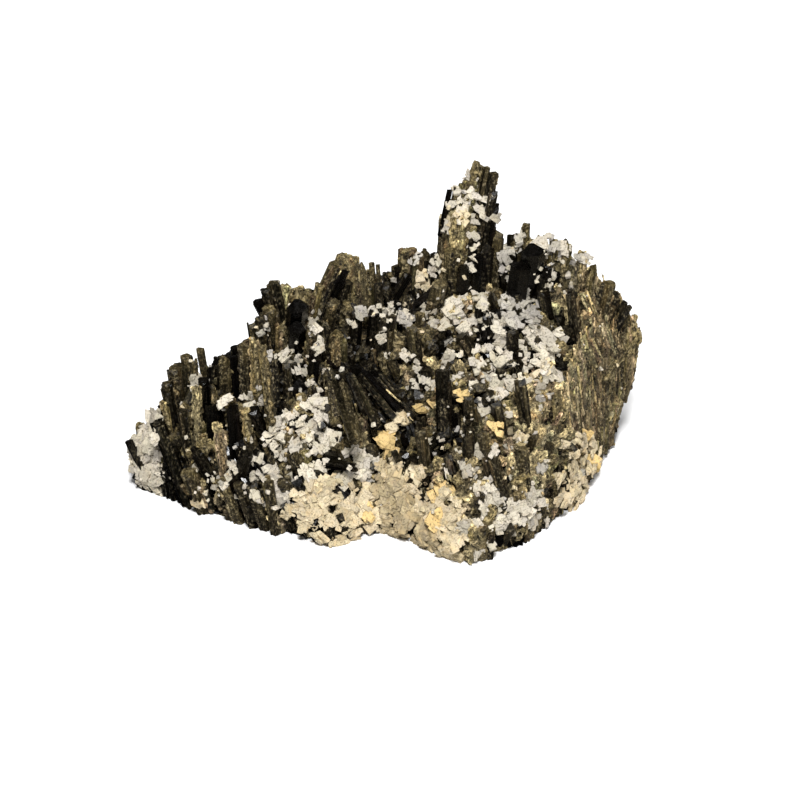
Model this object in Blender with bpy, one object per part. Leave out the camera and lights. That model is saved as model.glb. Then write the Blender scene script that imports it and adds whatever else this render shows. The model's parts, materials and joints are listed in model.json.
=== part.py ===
# A hand specimen of clinozoisite: a crust of upright, dark, six-sided prisms on a broken
# columnar mass, overgrown by blocky white, cream and yellow feldspar crystals.
# It rests on the flat base at z = 0. +X is its long way, and its front faces -Y.
# All sizes here are in millimetres, and the finished meshes are scaled to metres.

import math
import random
from collections import namedtuple

import bmesh
import bpy
from mathutils import Matrix, Vector, noise
from mathutils.bvhtree import BVHTree

METRE = 0.001
SEED = 41

# The mass under the crystals: where it is cut across, one station for each x.
# floor is the height of its underside; front, brow, ridge and back lie on its outline.
Station = namedtuple("Station", "x floor front brow ridge back")
STATIONS = (
    Station(-43.5, 0.4, 0.8, (1.4, 4.5), (4.0, 8.0), 7.0),
    Station(-41.0, 0.0, -0.4, (0.6, 6.0), (4.0, 10.5), 8.5),
    Station(-37.0, 0.0, -4.0, (-1.5, 8.0), (4.0, 17.0), 12.0),
    Station(-31.0, 0.0, -9.0, (-6.5, 8.5), (5.0, 19.5), 16.0),
    Station(-23.0, 0.0, -13.8, (-10.5, 9.5), (7.0, 25.5), 20.0),
    Station(-14.0, 0.0, -17.6, (-13.5, 9.5), (9.0, 31.0), 24.0),
    Station(-9.0, 0.0, -20.6, (-15.5, 8.5), (10.0, 33.5), 26.0),
    Station(-2.0, 0.0, -14.5, (-12.5, 8.5), (11.0, 34.5), 28.5),
    Station(6.0, 0.0, -18.5, (-14.5, 9.0), (12.0, 36.0), 30.5),
    Station(14.0, 0.0, -25.8, (-21.0, 9.5), (12.0, 37.0), 32.0),
    Station(23.0, 0.0, -20.6, (-16.5, 11.0), (14.0, 37.5), 33.0),
    Station(29.0, 0.0, -12.2, (-8.5, 16.0), (15.0, 36.5), 33.5),
    Station(33.0, 0.0, -5.0, (-0.5, 23.5), (16.5, 35.0), 33.5),
    Station(36.0, 0.0, 3.4, (6.0, 26.5), (18.0, 32.5), 33.0),
    Station(39.0, 1.0, 10.6, (12.0, 25.0), (20.0, 29.5), 32.0),
    Station(42.0, 4.0, 17.6, (18.5, 21.0), (22.0, 25.0), 30.0),
    Station(44.5, 12.0, 21.5, (22.0, 15.0), (24.0, 18.5), 27.0),
)
LIP_HEIGHT = 2.6
FOOT_UNDERCUT = 1.2
CORE_ROUGHNESS = 0.7

# The eye that the places below are seen by: level with +Y, looking down at this elevation.
# across and up are measured in the picture plane through the origin.
EYE_ELEVATION = math.radians(27.0)
EYE_DISTANCE = 480.0
EYE_AIM = (2.6, 15.7)

# Dark prisms, each (across, up) of its foot, (across, up) of its tip, and its width.
# Toward, the last value, is how far it comes to the eye for each millimetre seen:
# an upright prism comes UPRIGHT.
UPRIGHT = math.tan(EYE_ELEVATION)
SPIRE = (
    (16.3, 35.6, 16.8, 57.2, 3.2, UPRIGHT),
    (17.8, 35.4, 18.9, 55.3, 2.4, UPRIGHT),
    (12.0, 35.0, 12.5, 47.2, 4.9, UPRIGHT),
    (14.4, 36.6, 14.6, 55.6, 2.8, UPRIGHT),
    (12.7, 36.6, 13.2, 53.8, 2.4, 0.45),
    (11.4, 36.4, 10.9, 52.4, 2.0, UPRIGHT),
    (19.0, 35.6, 19.4, 45.8, 2.0, UPRIGHT),
    (17.5, 35.0, 18.0, 44.5, 3.6, 0.6),
    (15.4, 37.2, 15.8, 52.6, 3.4, 0.35),
    (17.4, 37.2, 17.9, 50.8, 3.2, 0.38),
    (13.6, 37.0, 13.9, 49.4, 3.2, 0.36),
)
RIDGE = (
    (25.0, 35.9, 26.1, 41.8, 4.5, 1.0),
    (22.8, 33.3, 24.0, 40.0, 4.5, 0.6),
    (23.6, 38.0, 24.3, 46.2, 3.4, UPRIGHT),
    (33.3, 34.5, 34.0, 40.6, 3.0, UPRIGHT),
    (28.5, 36.5, 28.9, 42.6, 2.4, UPRIGHT),
    (31.0, 36.5, 31.4, 42.4, 2.2, UPRIGHT),
    (37.0, 31.0, 39.6, 35.2, 3.6, 0.3),
    (40.4, 29.0, 42.6, 32.3, 2.4, 0.3),
    (2.1, 34.0, 2.1, 39.3, 1.8, UPRIGHT),
    (3.7, 34.5, 4.0, 42.2, 2.2, UPRIGHT),
    (6.5, 35.5, 6.8, 41.9, 1.9, UPRIGHT),
    (8.4, 36.0, 8.4, 41.8, 1.7, UPRIGHT),
    (0.9, 32.4, 4.0, 37.6, 2.8, 0.5),
    (8.2, 31.2, 9.6, 36.1, 3.2, 1.2),
)
PEAK = (
    (-12.4, 26.6, -7.2, 41.2, 4.2, 0.1),
    (-9.6, 27.1, -5.8, 40.6, 3.4, 0.3),
    (-6.5, 27.1, -4.0, 40.0, 3.0, 0.3),
    (-4.0, 28.0, -2.3, 39.2, 2.4, 0.4),
    (-2.3, 28.9, -0.7, 39.2, 2.1, 0.4),
    (-8.8, 25.4, -8.4, 32.9, 3.2, 1.0),
    (-20.5, 28.0, -22.0, 33.8, 2.3, 0.4),
    (-18.4, 29.0, -19.6, 36.4, 2.6, 0.4),
    (-16.3, 29.5, -17.3, 36.6, 3.0, 0.4),
    (-14.5, 29.5, -14.3, 35.9, 2.5, 0.4),
    (-15.4, 25.4, -15.4, 33.4, 4.2, 1.0),
    (-18.4, 23.5, -18.2, 30.1, 2.8, 0.8),
    (-23.4, 23.5, -24.2, 28.4, 2.0, UPRIGHT),
)
LEFT_WING = (
    (-24.3, 16.1, -24.9, 25.7, 2.1, 0.4),
    (-22.2, 14.0, -23.1, 26.4, 2.4, 0.4),
    (-19.6, 8.8, -21.4, 25.5, 1.8, 0.3),
    (-27.5, 15.8, -27.8, 23.4, 3.2, UPRIGHT),
    (-25.6, 16.6, -26.3, 24.2, 2.0, UPRIGHT),
    (-19.3, 12.3, -20.1, 24.3, 2.5, 0.3),
    (-16.6, 15.8, -17.2, 22.2, 2.0, UPRIGHT),
    (-34.1, 18.0, -35.0, 23.5, 2.5, UPRIGHT),
    (-31.3, 18.5, -32.4, 24.7, 1.9, UPRIGHT),
    (-29.8, 18.0, -29.8, 22.5, 2.0, UPRIGHT),
    (-35.9, 15.8, -36.8, 21.4, 3.2, UPRIGHT),
    (-37.6, 11.8, -39.0, 18.8, 2.6, UPRIGHT),
    (-38.4, 9.5, -39.6, 15.6, 2.2, UPRIGHT),
    (-32.4, 8.8, -33.1, 18.4, 2.3, 0.4),
    (-29.8, 14.0, -30.3, 18.2, 2.2, UPRIGHT),
    (-35.0, -1.8, -39.9, 11.9, 3.0, 0.3),
    (-32.4, -1.8, -34.1, 4.0, 2.9, 0.5),
    (-28.5, 2.6, -29.4, 11.6, 2.8, 0.5),
    (-30.3, 1.8, -33.1, 6.9, 2.6, 0.5),
    (-26.3, -4.4, -28.9, 2.0, 2.4, 0.5),
    (-23.6, -5.6, -25.7, 1.2, 2.4, 0.5),
    (-21.5, -6.1, -23.3, 0.4, 2.4, 0.5),
    (-19.3, -5.3, -20.5, 2.0, 2.4, 0.5),
    (-42.6, 0.6, -44.9, 8.6, 1.9, 0.3),
)
FRONT = (
    (-7.9, 18.4, -5.4, 9.1, 2.8, 0.9),
    (-5.8, 20.0, 0.0, 11.4, 2.0, 0.8),
    (-4.7, 20.7, 3.5, 13.1, 3.0, 0.8),
    (0.0, 20.7, 6.1, 12.3, 1.7, 0.7),
    (-11.0, 4.6, -5.4, 3.9, 2.3, 0.6),
    (10.5, 10.2, 10.2, 21.0, 2.6, 0.4),
    (15.2, 11.0, 14.5, 16.6, 2.9, 0.6),
    (20.1, 11.0, 19.3, 15.4, 2.6, 0.6),
    (24.5, 12.0, 23.6, 19.3, 2.6, 0.5),
    (17.9, 3.5, 16.8, 10.2, 2.6, 0.5),
    (20.3, 0.0, 18.4, 7.0, 2.4, 0.5),
    (24.5, 0.8, 24.0, 7.2, 2.9, 0.5),
    (28.0, -6.6, 28.2, 2.5, 2.6, 0.4),
    (30.6, 9.5, 29.9, 16.6, 2.6, 0.4),
    (7.0, 3.5, 6.1, 10.5, 2.6, 0.5),
    (14.9, 5.5, 14.9, 11.4, 2.6, 0.6),
    (33.3, 28.0, 32.7, 34.6, 2.6, 0.4),
    (28.5, 30.0, 27.7, 34.8, 2.6, 0.6),
    (-0.5, 24.0, 0.5, 30.0, 2.8, 0.7),
    (5.5, 22.5, 4.5, 28.5, 2.6, 0.7),
    (-12.5, 19.5, -12.0, 25.0, 2.4, 0.7),
)

# Feldspar: each patch has its colour, the side it is seen from, the outlines it fills and
# the size of its crystals, as (across, up) in the picture plane.
Patch = namedtuple("Patch", "colour side size outlines")
PATCHES = {
    "feldspar_left_block": Patch("white", "front", 4.2, (
        ((-42.0, 12.4), (-39.0, 12.4), (-38.4, 1.8), (-39.6, -0.4), (-42.8, 0.6), (-43.6, 8.6)),
    )),
    "feldspar_front_crust": Patch("cream", "front", 5.0, (
        ((-14.9, 0.9), (-10.5, 2.1), (-2.3, 0.0), (-2.6, -5.4), (-7.0, -8.6), (-10.5, -8.4),
         (-14.9, -6.8), (-17.6, -4.6), (-17.5, -2.6)),
        ((-1.2, -1.8), (-1.2, 4.9), (1.8, 6.4), (7.9, 1.2), (11.4, 0.2), (14.5, -2.6),
         (14.0, -7.9), (13.0, -10.6), (9.6, -9.4), (5.3, -7.6), (1.4, -6.4)),
        ((-16.8, 13.0), (-9.6, 13.8), (-7.0, 8.8), (-4.0, 6.1), (-4.4, 1.4), (-14.9, 0.9),
         (-14.9, 4.4), (-16.8, 7.0)),
    )),
    "feldspar_lower_right": Patch("white", "front", 4.0, (
        ((16.8, 0.8), (21.9, 1.6), (27.0, 0.8), (27.4, -3.4), (24.8, -5.4), (20.1, -7.6),
         (17.8, -9.6), (16.8, -7.6)),
    )),
    "feldspar_upper_field": Patch("white", "front", 4.8, (
        ((16.6, 24.5), (23.6, 28.9), (28.0, 29.4), (30.2, 28.0), (30.2, 24.5), (31.4, 21.0),
         (29.6, 17.5), (27.6, 15.0), (21.9, 16.6), (18.4, 15.4), (16.3, 16.6)),
        ((10.4, 32.4), (14.0, 34.4), (18.4, 33.6), (20.1, 29.8), (20.1, 26.0), (16.6, 23.5),
         (12.3, 21.6), (10.6, 23.4), (11.2, 28.0)),
    )),
    "feldspar_ridge": Patch("white", "front", 3.0, (
        ((26.8, 43.0), (30.4, 42.4), (34.6, 40.6), (33.8, 38.2), (31.6, 35.4), (27.4, 35.4),
         (28.0, 39.0)),
    )),
    "feldspar_left_low": Patch("white", "front", 2.8, (
        ((-28.0, 6.2), (-25.4, 5.4), (-22.6, 7.6), (-18.4, 9.2), (-17.4, 6.6), (-19.6, 3.6),
         (-23.4, 1.6), (-27.6, 2.4)),
    )),
    "feldspar_back_field": Patch("white", "back", 4.6, (
        ((-26.0, 20.0), (-17.0, 24.0), (-9.0, 21.0), (-8.0, 13.0), (-16.0, 9.0), (-25.0, 12.0)),
    )),
}

# Small clusters: each crystal as (across, up, size).
Cluster = namedtuple("Cluster", "colour crystals")
CLUSTERS = {
    "feldspar_right_knob": Cluster("cream", (
        (31.4, 8.6, 3.4), (33.8, 7.6, 3.6), (36.0, 5.6, 3.4), (32.8, 4.8, 3.6), (32.2, 1.8, 3.8),
        (31.6, -1.0, 3.6))),
    "feldspar_upper_left": Cluster("white", (
        (5.8, 37.4, 2.4), (7.6, 38.0, 2.8), (9.0, 36.6, 2.8), (7.2, 35.8, 2.6))),
    "feldspar_peak_side": Cluster("white", (
        (-11.6, 29.8, 2.6), (-11.4, 28.0, 2.6), (-11.6, 26.4, 2.6))),
    "feldspar_shoulder": Cluster("white", ((-17.0, 24.0, 2.5), (-16.6, 22.6, 2.6))),
    "feldspar_left_high": Cluster("white", ((-32.9, 19.3, 2.8),)),
    "feldspar_left_middle": Cluster("white", ((-24.0, 15.8, 2.6), (-22.6, 15.6, 2.8))),
    "feldspar_middle_left": Cluster("white", (
        (-14.5, 20.0, 2.6), (-13.1, 18.6, 2.6), (-11.9, 17.1, 2.6))),
    "feldspar_middle": Cluster("white", (
        (-3.6, 31.2, 2.6), (-1.8, 30.8, 2.6), (0.2, 30.4, 2.7), (2.0, 30.2, 2.7), (3.6, 29.6, 2.8))),
    "feldspar_yellow_crystal": Cluster("yellow", ((1.6, 11.8, 3.0), (0.2, 9.4, 3.4))),
    "feldspar_yellow_pair": Cluster("yellow", ((6.0, 15.4, 2.8), (8.0, 15.0, 2.8))),
    "feldspar_lower_middle": Cluster("white", (
        (15.6, 6.6, 2.9), (14.6, 4.8, 3.0), (14.8, 3.0, 2.8))),
    "feldspar_right_middle": Cluster("cream", (
        (18.0, 12.2, 3.0), (20.2, 11.2, 2.9), (22.2, 10.4, 2.9))),
}
SPIRE_FELDSPAR = Cluster("white", (
    (13.2, 51.4, 2.7), (13.0, 49.6, 2.8), (13.4, 47.8, 2.6), (15.2, 50.2, 2.7)))

# Feldspar crystals stand out of the mass by this share of their size, this far apart.
BLOCK_LIFT = 0.28
BLOCK_SPACING = 0.84
BLOCK_REACH = 0.63
BLOCK_TAPER = 0.8
BLOCK_SHEAR = 0.26
GAP = 0.3
CORE_GAP = 0.42
MERGE = 0.002

# Prisms between the placed ones, on a jittered grid over the top of the mass.
FILL_STEP = 7.9
FILL_STANDS = (1.6, 4.4)
RIDGE_STANDS = (0.6, 1.8)
FILL_WIDTH = (2.6, 3.9)
SUNK = 2.5

# Ribs of broken columns down the right flank and along the back.
RIB_STEP = 4.4
RIB_WIDTH = (2.8, 4.0)
RIB_PROUD = 0.9
RIB_SUNK = 2.2
FLANK_START = -10.0
FLANK_HEIGHT = 33.0
FLANK_LENGTH = 12.0
BACK_STEP = 4.4
BACK_HEIGHT = 33.0
BACK_LENGTH = 15.0

COLOURS = {
    "clinozoisite": ((0.075, 0.062, 0.035), 0.42),
    "white": ((0.80, 0.77, 0.71), 0.5),
    "cream": ((0.76, 0.70, 0.55), 0.55),
    "yellow": ((0.72, 0.55, 0.28), 0.5),
}

Crystal = namedtuple("Crystal", "foot tip width thickness spin slopes")
Block = namedtuple("Block", "centre size turn")

rng = random.Random(SEED)
noise.seed_set(SEED)


# Sight lines

def picture_axes(side):
    """Right, up and away, as seen from the front or from the back."""
    turn = Matrix.Rotation(0.0 if side == "front" else math.pi, 3, "Z")
    sin_e, cos_e = math.sin(EYE_ELEVATION), math.cos(EYE_ELEVATION)
    right = turn @ Vector((1.0, 0.0, 0.0))
    up = turn @ Vector((0.0, sin_e, cos_e))
    away = turn @ Vector((0.0, cos_e, -sin_e))
    return right, up, away


def sight_line(across, up_value, side="front"):
    """The eye and the direction from it through a point of the picture plane."""
    right, up, away = picture_axes(side)
    eye = right * EYE_AIM[0] + up * EYE_AIM[1] - away * EYE_DISTANCE
    point = right * across + up * up_value
    return eye, (point - eye).normalized()


def picture_place(point, side="front"):
    """Where a point of space is seen in the picture plane."""
    right, up, away = picture_axes(side)
    eye = right * EYE_AIM[0] + up * EYE_AIM[1] - away * EYE_DISTANCE
    ray = point - eye
    seen = eye + ray * (EYE_DISTANCE / ray.dot(away))
    return seen.dot(right), seen.dot(up)


def surface_under(tree, across, up_value, side="front"):
    """The point of the surface that is seen at a place, or the nearest one to it."""
    eye, direction = sight_line(across, up_value, side)
    hit, normal, _, _ = tree.ray_cast(eye, direction)
    if hit is None:
        hit, normal, _, _ = tree.find_nearest(eye + direction * EYE_DISTANCE)
    return hit, normal


# The mass

def station_ring(station):
    """The outline of the mass at one station, from the front foot over the top and back."""
    ridge_y, ridge_z = station.ridge
    brow_y, brow_z = station.brow
    rise = ridge_z - station.floor
    lip = min(LIP_HEIGHT, 0.3 * rise)
    foot_front = station.front + FOOT_UNDERCUT
    foot_back = station.back - FOOT_UNDERCUT
    outline = (
        (foot_front, station.floor),
        (station.front, station.floor + lip),
        (brow_y, brow_z),
        (0.5 * (brow_y + ridge_y) - 0.6, 0.5 * (brow_z + ridge_z) + 0.8),
        (ridge_y, ridge_z),
        (0.45 * ridge_y + 0.55 * station.back, station.floor + 0.86 * rise),
        (station.back, station.floor + 0.46 * rise),
        (station.back - 0.3, station.floor + 0.14 * rise),
        (foot_back, station.floor),
        (0.5 * (foot_front + foot_back), station.floor),
    )
    return [Vector((station.x, y, z)) for y, z in outline]


def core_mesh(grow):
    """The mass under the crystals, lofted along x; grow moves its surface outwards."""
    bm = bmesh.new()
    loops = []
    for station in STATIONS:
        verts = []
        for point in station_ring(station):
            if point.z > station.floor + 0.1:
                point = point + noise.noise_vector(point * 0.21) * CORE_ROUGHNESS
            verts.append(bm.verts.new(point))
        loops.append([bm.edges.new((a, b)) for a, b in zip(verts, verts[1:] + verts[:1])])
    for first, second in zip(loops, loops[1:]):
        bmesh.ops.bridge_loops(bm, edges=first + second)
    for end in (loops[0], loops[-1]):
        bmesh.ops.edgeloop_fill(bm, edges=end)
    bmesh.ops.triangulate(bm, faces=bm.faces)
    bmesh.ops.recalc_face_normals(bm, faces=bm.faces)
    if grow:
        bm.normal_update()
        for vert, move in [(v, v.normal * grow) for v in bm.verts]:
            vert.co += move
    return bm


def growth(point):
    """The way that prisms grow at a place: fanned out to the left, upright in the middle."""
    lean_x = math.radians(max(-26.0, min(6.0, -6.0 + 0.42 * point.x)))
    middle_y = 4.0 + 0.3 * (point.x + 20.0)
    lean_y = math.radians(max(-12.0, min(16.0, 0.7 * (point.y - middle_y))))
    return Vector((math.sin(lean_x), math.sin(lean_y), 1.0)).normalized()


def crystal_between(foot, tip, width, slopes=None):
    """A prism with a chosen or a seeded tip, a little flatter than wide."""
    if slopes is None:
        slopes = (rng.uniform(0.25, 0.6), rng.uniform(0.5, 0.95))
    return Crystal(foot, tip, width, width * rng.uniform(0.68, 0.85),
                   rng.uniform(-0.5, 0.5), slopes)


def crystal_mesh(crystal, grow):
    """A six-sided prism cut to a chisel tip; grow moves its faces outwards."""
    length = (crystal.tip - crystal.foot).length + grow
    bm = bmesh.new()
    bmesh.ops.create_cone(bm, cap_ends=True, segments=6, radius1=0.5, radius2=0.5, depth=1.0)
    bmesh.ops.translate(bm, vec=(0.0, 0.0, 0.5), verts=bm.verts)
    bmesh.ops.scale(bm, vec=(crystal.width + 2 * grow, crystal.thickness + 2 * grow, length),
                    verts=bm.verts)
    for side, slope in zip((-1.0, 1.0), crystal.slopes):
        facing = Vector((side * math.sin(slope), 0.0, math.cos(slope)))
        through = Vector((0.0, 0.0, length - grow)) + facing * grow
        cut = bmesh.ops.bisect_plane(bm, geom=bm.verts[:] + bm.edges[:] + bm.faces[:],
                                     plane_co=through, plane_no=facing, clear_outer=True)
        rim = [e for e in cut["geom_cut"] if isinstance(e, bmesh.types.BMEdge)]
        bmesh.ops.edgeloop_fill(bm, edges=rim)
    axis = (crystal.tip - crystal.foot).normalized()
    turn = axis.to_track_quat("Z", "Y").to_matrix() @ Matrix.Rotation(crystal.spin, 3, "Z")
    bm.transform(Matrix.Translation(crystal.foot) @ turn.to_4x4())
    bmesh.ops.recalc_face_normals(bm, faces=bm.faces)
    return bm


def placed_crystals(tree):
    """The prisms that are told one by one."""
    crystals = []
    for across, up, tip_across, tip_up, width, toward in SPIRE + RIDGE + PEAK + LEFT_WING + FRONT:
        foot, _ = surface_under(tree, across, up)
        seen = math.hypot(tip_across - across, tip_up - up)
        away = picture_axes("front")[2]
        eye, direction = sight_line(tip_across, tip_up)
        depth = (foot - eye).dot(away) - toward * seen
        tip = eye + direction * (depth / direction.dot(away))
        axis = (tip - foot).normalized()
        crystals.append(crystal_between(foot - axis * SUNK, tip, width))
    return crystals


def in_patch(point, margin):
    """Whether a point is seen on a feldspar patch."""
    side = "back" if point.y > ridge_place(point.x) else "front"
    for patch in PATCHES.values():
        if patch.side != side:
            continue
        across, up = picture_place(point, side)
        for outline in patch.outlines:
            place = Vector((across, up))
            corners = [Vector(corner) for corner in outline]
            middle = sum(corners, Vector((0.0, 0.0))) / len(corners)
            spread = [middle + (c - middle) * (1.0 + margin / (c - middle).length) for c in corners]
            if inside(place, spread):
                return True
    return False


def inside(place, corners):
    """Whether a place lies inside an outline."""
    count = 0
    for a, b in zip(corners, corners[1:] + corners[:1]):
        if (a.y > place.y) != (b.y > place.y):
            count += place.x < a.x + (b.x - a.x) * (place.y - a.y) / (b.y - a.y)
    return count % 2 == 1


def ridge_place(x):
    """How far back the ridge of the mass lies at x."""
    for a, b in zip(STATIONS, STATIONS[1:]):
        if x < b.x:
            break
    share = max(0.0, min(1.0, (x - a.x) / (b.x - a.x)))
    return a.ridge[0] + share * (b.ridge[0] - a.ridge[0])


def fill_crystals(tree, placed):
    """Prisms on a jittered grid over the top, clear of the feldspar and of placed tips."""
    crystals = []
    taken = [c.tip for c in placed]
    for column in range(-7, 8):
        for row in range(-5, 7):
            x = (column + rng.uniform(-0.3, 0.3)) * FILL_STEP
            y = (row + rng.uniform(-0.3, 0.3)) * FILL_STEP
            on_ridge = abs(y - ridge_place(x)) < FILL_STEP
            stands = rng.uniform(*(RIDGE_STANDS if on_ridge else FILL_STANDS))
            width = rng.uniform(*FILL_WIDTH)
            hit, normal, _, _ = tree.ray_cast(Vector((x, y, 90.0)), Vector((0.0, 0.0, -1.0)))
            if hit is None or hit.z < 4.0 or in_patch(hit, 0.5):
                continue
            axis = growth(hit)
            tip = hit + axis * stands
            if min((tip - other).length for other in taken) > 2.6:
                crystals.append(crystal_between(hit - axis * SUNK, tip, width))
    return crystals


def rib_crystals(tree):
    """Ribs of broken columns: down the right flank, round the tip, and along the back."""
    crystals = []
    sites = []
    for step in range(8):
        for level in (0.28, 0.66):
            start = Vector((90.0, FLANK_START + step * RIB_STEP, FLANK_HEIGHT * level))
            sites.append((start, Vector((-1.0, 0.12, 0.0)), FLANK_LENGTH))
    for step in range(-9, 10):
        level = 0.25 if step % 2 else 0.5
        start = Vector((step * BACK_STEP, 90.0, BACK_HEIGHT * level))
        sites.append((start, Vector((0.0, -1.0, 0.0)), BACK_LENGTH))
    for start, direction, length in sites:
        start = start + Vector((0.0, 0.0, rng.uniform(-2.0, 2.0)))
        hit, normal, _, _ = tree.ray_cast(start, direction.normalized())
        width = rng.uniform(*RIB_WIDTH)
        if hit is None or hit.z < 3.0 or in_patch(hit, 0.5):
            continue
        along = growth(hit)
        along = (along - normal * along.dot(normal)).normalized()
        half = along * (0.5 * length * rng.uniform(0.8, 1.2))
        foot = hit - half - normal * RIB_SUNK
        tip = hit + half * 0.8 + normal * RIB_PROUD
        crystals.append(crystal_between(foot, tip, width))
    return crystals


# Feldspar

def block_mesh(block):
    """A sheared and tapered feldspar block."""
    bm = bmesh.new()
    bmesh.ops.create_cube(bm, size=block.size)
    for vert in bm.verts:
        narrow = BLOCK_TAPER if vert.co.z > 0.0 else 1.0
        vert.co = Vector((vert.co.x * narrow, vert.co.y * 0.88 * narrow, vert.co.z * 0.78))
    bm.transform(Matrix.Shear("XY", 4, (BLOCK_SHEAR, 0.0)))
    bm.transform(Matrix.Translation(block.centre) @ block.turn.to_4x4())
    return bm


def new_block(tree, place, size, side, others):
    """One feldspar crystal on the surface, unless it would touch another patch."""
    turn = Matrix.Rotation(rng.uniform(0.0, math.tau), 3, "Z")
    turn = turn @ Matrix.Rotation(rng.uniform(-0.9, 0.9), 3, "X")
    hit, normal = surface_under(tree, place[0], place[1], side)
    centre = hit + normal * size * BLOCK_LIFT
    for other in others:
        if (centre - other.centre).length < BLOCK_REACH * (size + other.size) + GAP:
            return []
    return [Block(centre, size, turn)]


def patch_blocks(patch, tree, others):
    """Feldspar crystals on a jittered honeycomb inside a patch's outlines."""
    blocks = []
    step = patch.size * BLOCK_SPACING
    for outline in patch.outlines:
        corners = [Vector(corner) for corner in outline]
        low = Vector((min(c.x for c in corners), min(c.y for c in corners)))
        high = Vector((max(c.x for c in corners), max(c.y for c in corners)))
        rows = int((high.y - low.y) / (0.87 * step)) + 2
        columns = int((high.x - low.x) / step) + 2
        for row in range(rows):
            for column in range(columns):
                place = Vector((low.x + (column + 0.5 * (row % 2)) * step,
                                low.y + row * 0.87 * step))
                place += Vector((rng.uniform(-0.2, 0.2), rng.uniform(-0.2, 0.2))) * step
                size = patch.size * rng.uniform(0.85, 1.25)
                if inside(place, corners):
                    blocks += new_block(tree, place, size, patch.side, others)
    return blocks


def cluster_blocks(cluster, tree, others):
    """The feldspar crystals of a small cluster."""
    blocks = []
    for across, up, size in cluster.crystals:
        blocks += new_block(tree, (across, up), size, "front", others)
    return blocks


# Solids

def helper(name, bm):
    """An object that only takes part in a Boolean."""
    mesh = bpy.data.meshes.new(name)
    bm.to_mesh(mesh)
    bm.free()
    shape = bpy.data.objects.new(name, mesh)
    shape.hide_render = True
    shape.display_type = "WIRE"
    bpy.context.scene.collection.objects.link(shape)
    return shape


def boolean(base, others, operation):
    """The evaluated result of one exact Boolean on a base with many helpers."""
    group = bpy.data.collections.new("helpers")
    bpy.context.scene.collection.children.link(group)
    for other in others:
        group.objects.link(other)
    modifier = base.modifiers.new(operation.lower(), "BOOLEAN")
    modifier.operation = operation
    modifier.solver = "EXACT"
    modifier.operand_type = "COLLECTION"
    modifier.collection = group
    depsgraph = bpy.context.evaluated_depsgraph_get()
    result = bpy.data.meshes.new_from_object(base.evaluated_get(depsgraph))
    base.modifiers.remove(modifier)
    bpy.data.collections.remove(group)
    return result


def enclosed(faces):
    """The volume that triangles enclose, negative where they face inwards."""
    corners = [[loop.vert.co for loop in face.loops] for face in faces]
    return sum(p.dot(q.cross(r)) for p, q, r in corners) / 6.0


def largest_piece(mesh):
    """Leave only the largest connected piece of a mesh, and none of its sealed hollows."""
    bm = bmesh.new()
    bm.from_mesh(mesh)
    bmesh.ops.remove_doubles(bm, verts=bm.verts, dist=MERGE)
    bmesh.ops.dissolve_degenerate(bm, edges=bm.edges, dist=MERGE)
    bmesh.ops.triangulate(bm, faces=bm.faces)
    left = set(bm.faces)
    pieces = []
    while left:
        piece = [left.pop()]
        for face in piece:
            near = {other for edge in face.edges for other in edge.link_faces} & left
            left -= near
            piece += near
        pieces.append(piece)
    kept = max(pieces, key=enclosed)
    loose = [face for piece in pieces if piece is not kept for face in piece]
    bmesh.ops.delete(bm, geom=loose, context="FACES")
    bm.to_mesh(mesh)
    bm.free()


def discard(shapes):
    """Remove helpers when their Boolean is done."""
    for shape in shapes:
        bpy.data.objects.remove(shape, do_unlink=True)


def ground_cutter():
    """A slab under the base, which cuts everything off at z = 0."""
    bm = bmesh.new()
    bmesh.ops.create_cube(bm, size=1.0)
    bmesh.ops.scale(bm, vec=(200.0, 200.0, 20.0), verts=bm.verts)
    bmesh.ops.translate(bm, vec=(0.0, 0.0, -10.0), verts=bm.verts)
    return helper("ground", bm)


def joined_solid(name, meshes):
    """One closed solid from overlapping closed ones, cut off at the base."""
    shapes = [helper(f"{name}_{index}", bm) for index, bm in enumerate(meshes)]
    joined = boolean(shapes[0], shapes[1:], "UNION") if shapes[1:] else shapes[0].data.copy()
    discard(shapes)
    whole = bpy.data.objects.new(name, joined)
    bpy.context.scene.collection.objects.link(whole)
    ground = ground_cutter()
    whole.data = boolean(whole, [ground], "DIFFERENCE")
    discard([ground])
    return whole


def material(name):
    """A plain Principled material from the colour table."""
    colour, roughness = COLOURS[name]
    made = bpy.data.materials.new(name)
    made.use_nodes = True
    shader = made.node_tree.nodes["Principled BSDF"]
    shader.inputs["Base Color"].default_value = (*colour, 1.0)
    shader.inputs["Roughness"].default_value = roughness
    shader.inputs["Metallic"].default_value = 0.0
    return made


def clear_scene():
    for old in list(bpy.data.objects):
        bpy.data.objects.remove(old, do_unlink=True)


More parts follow.
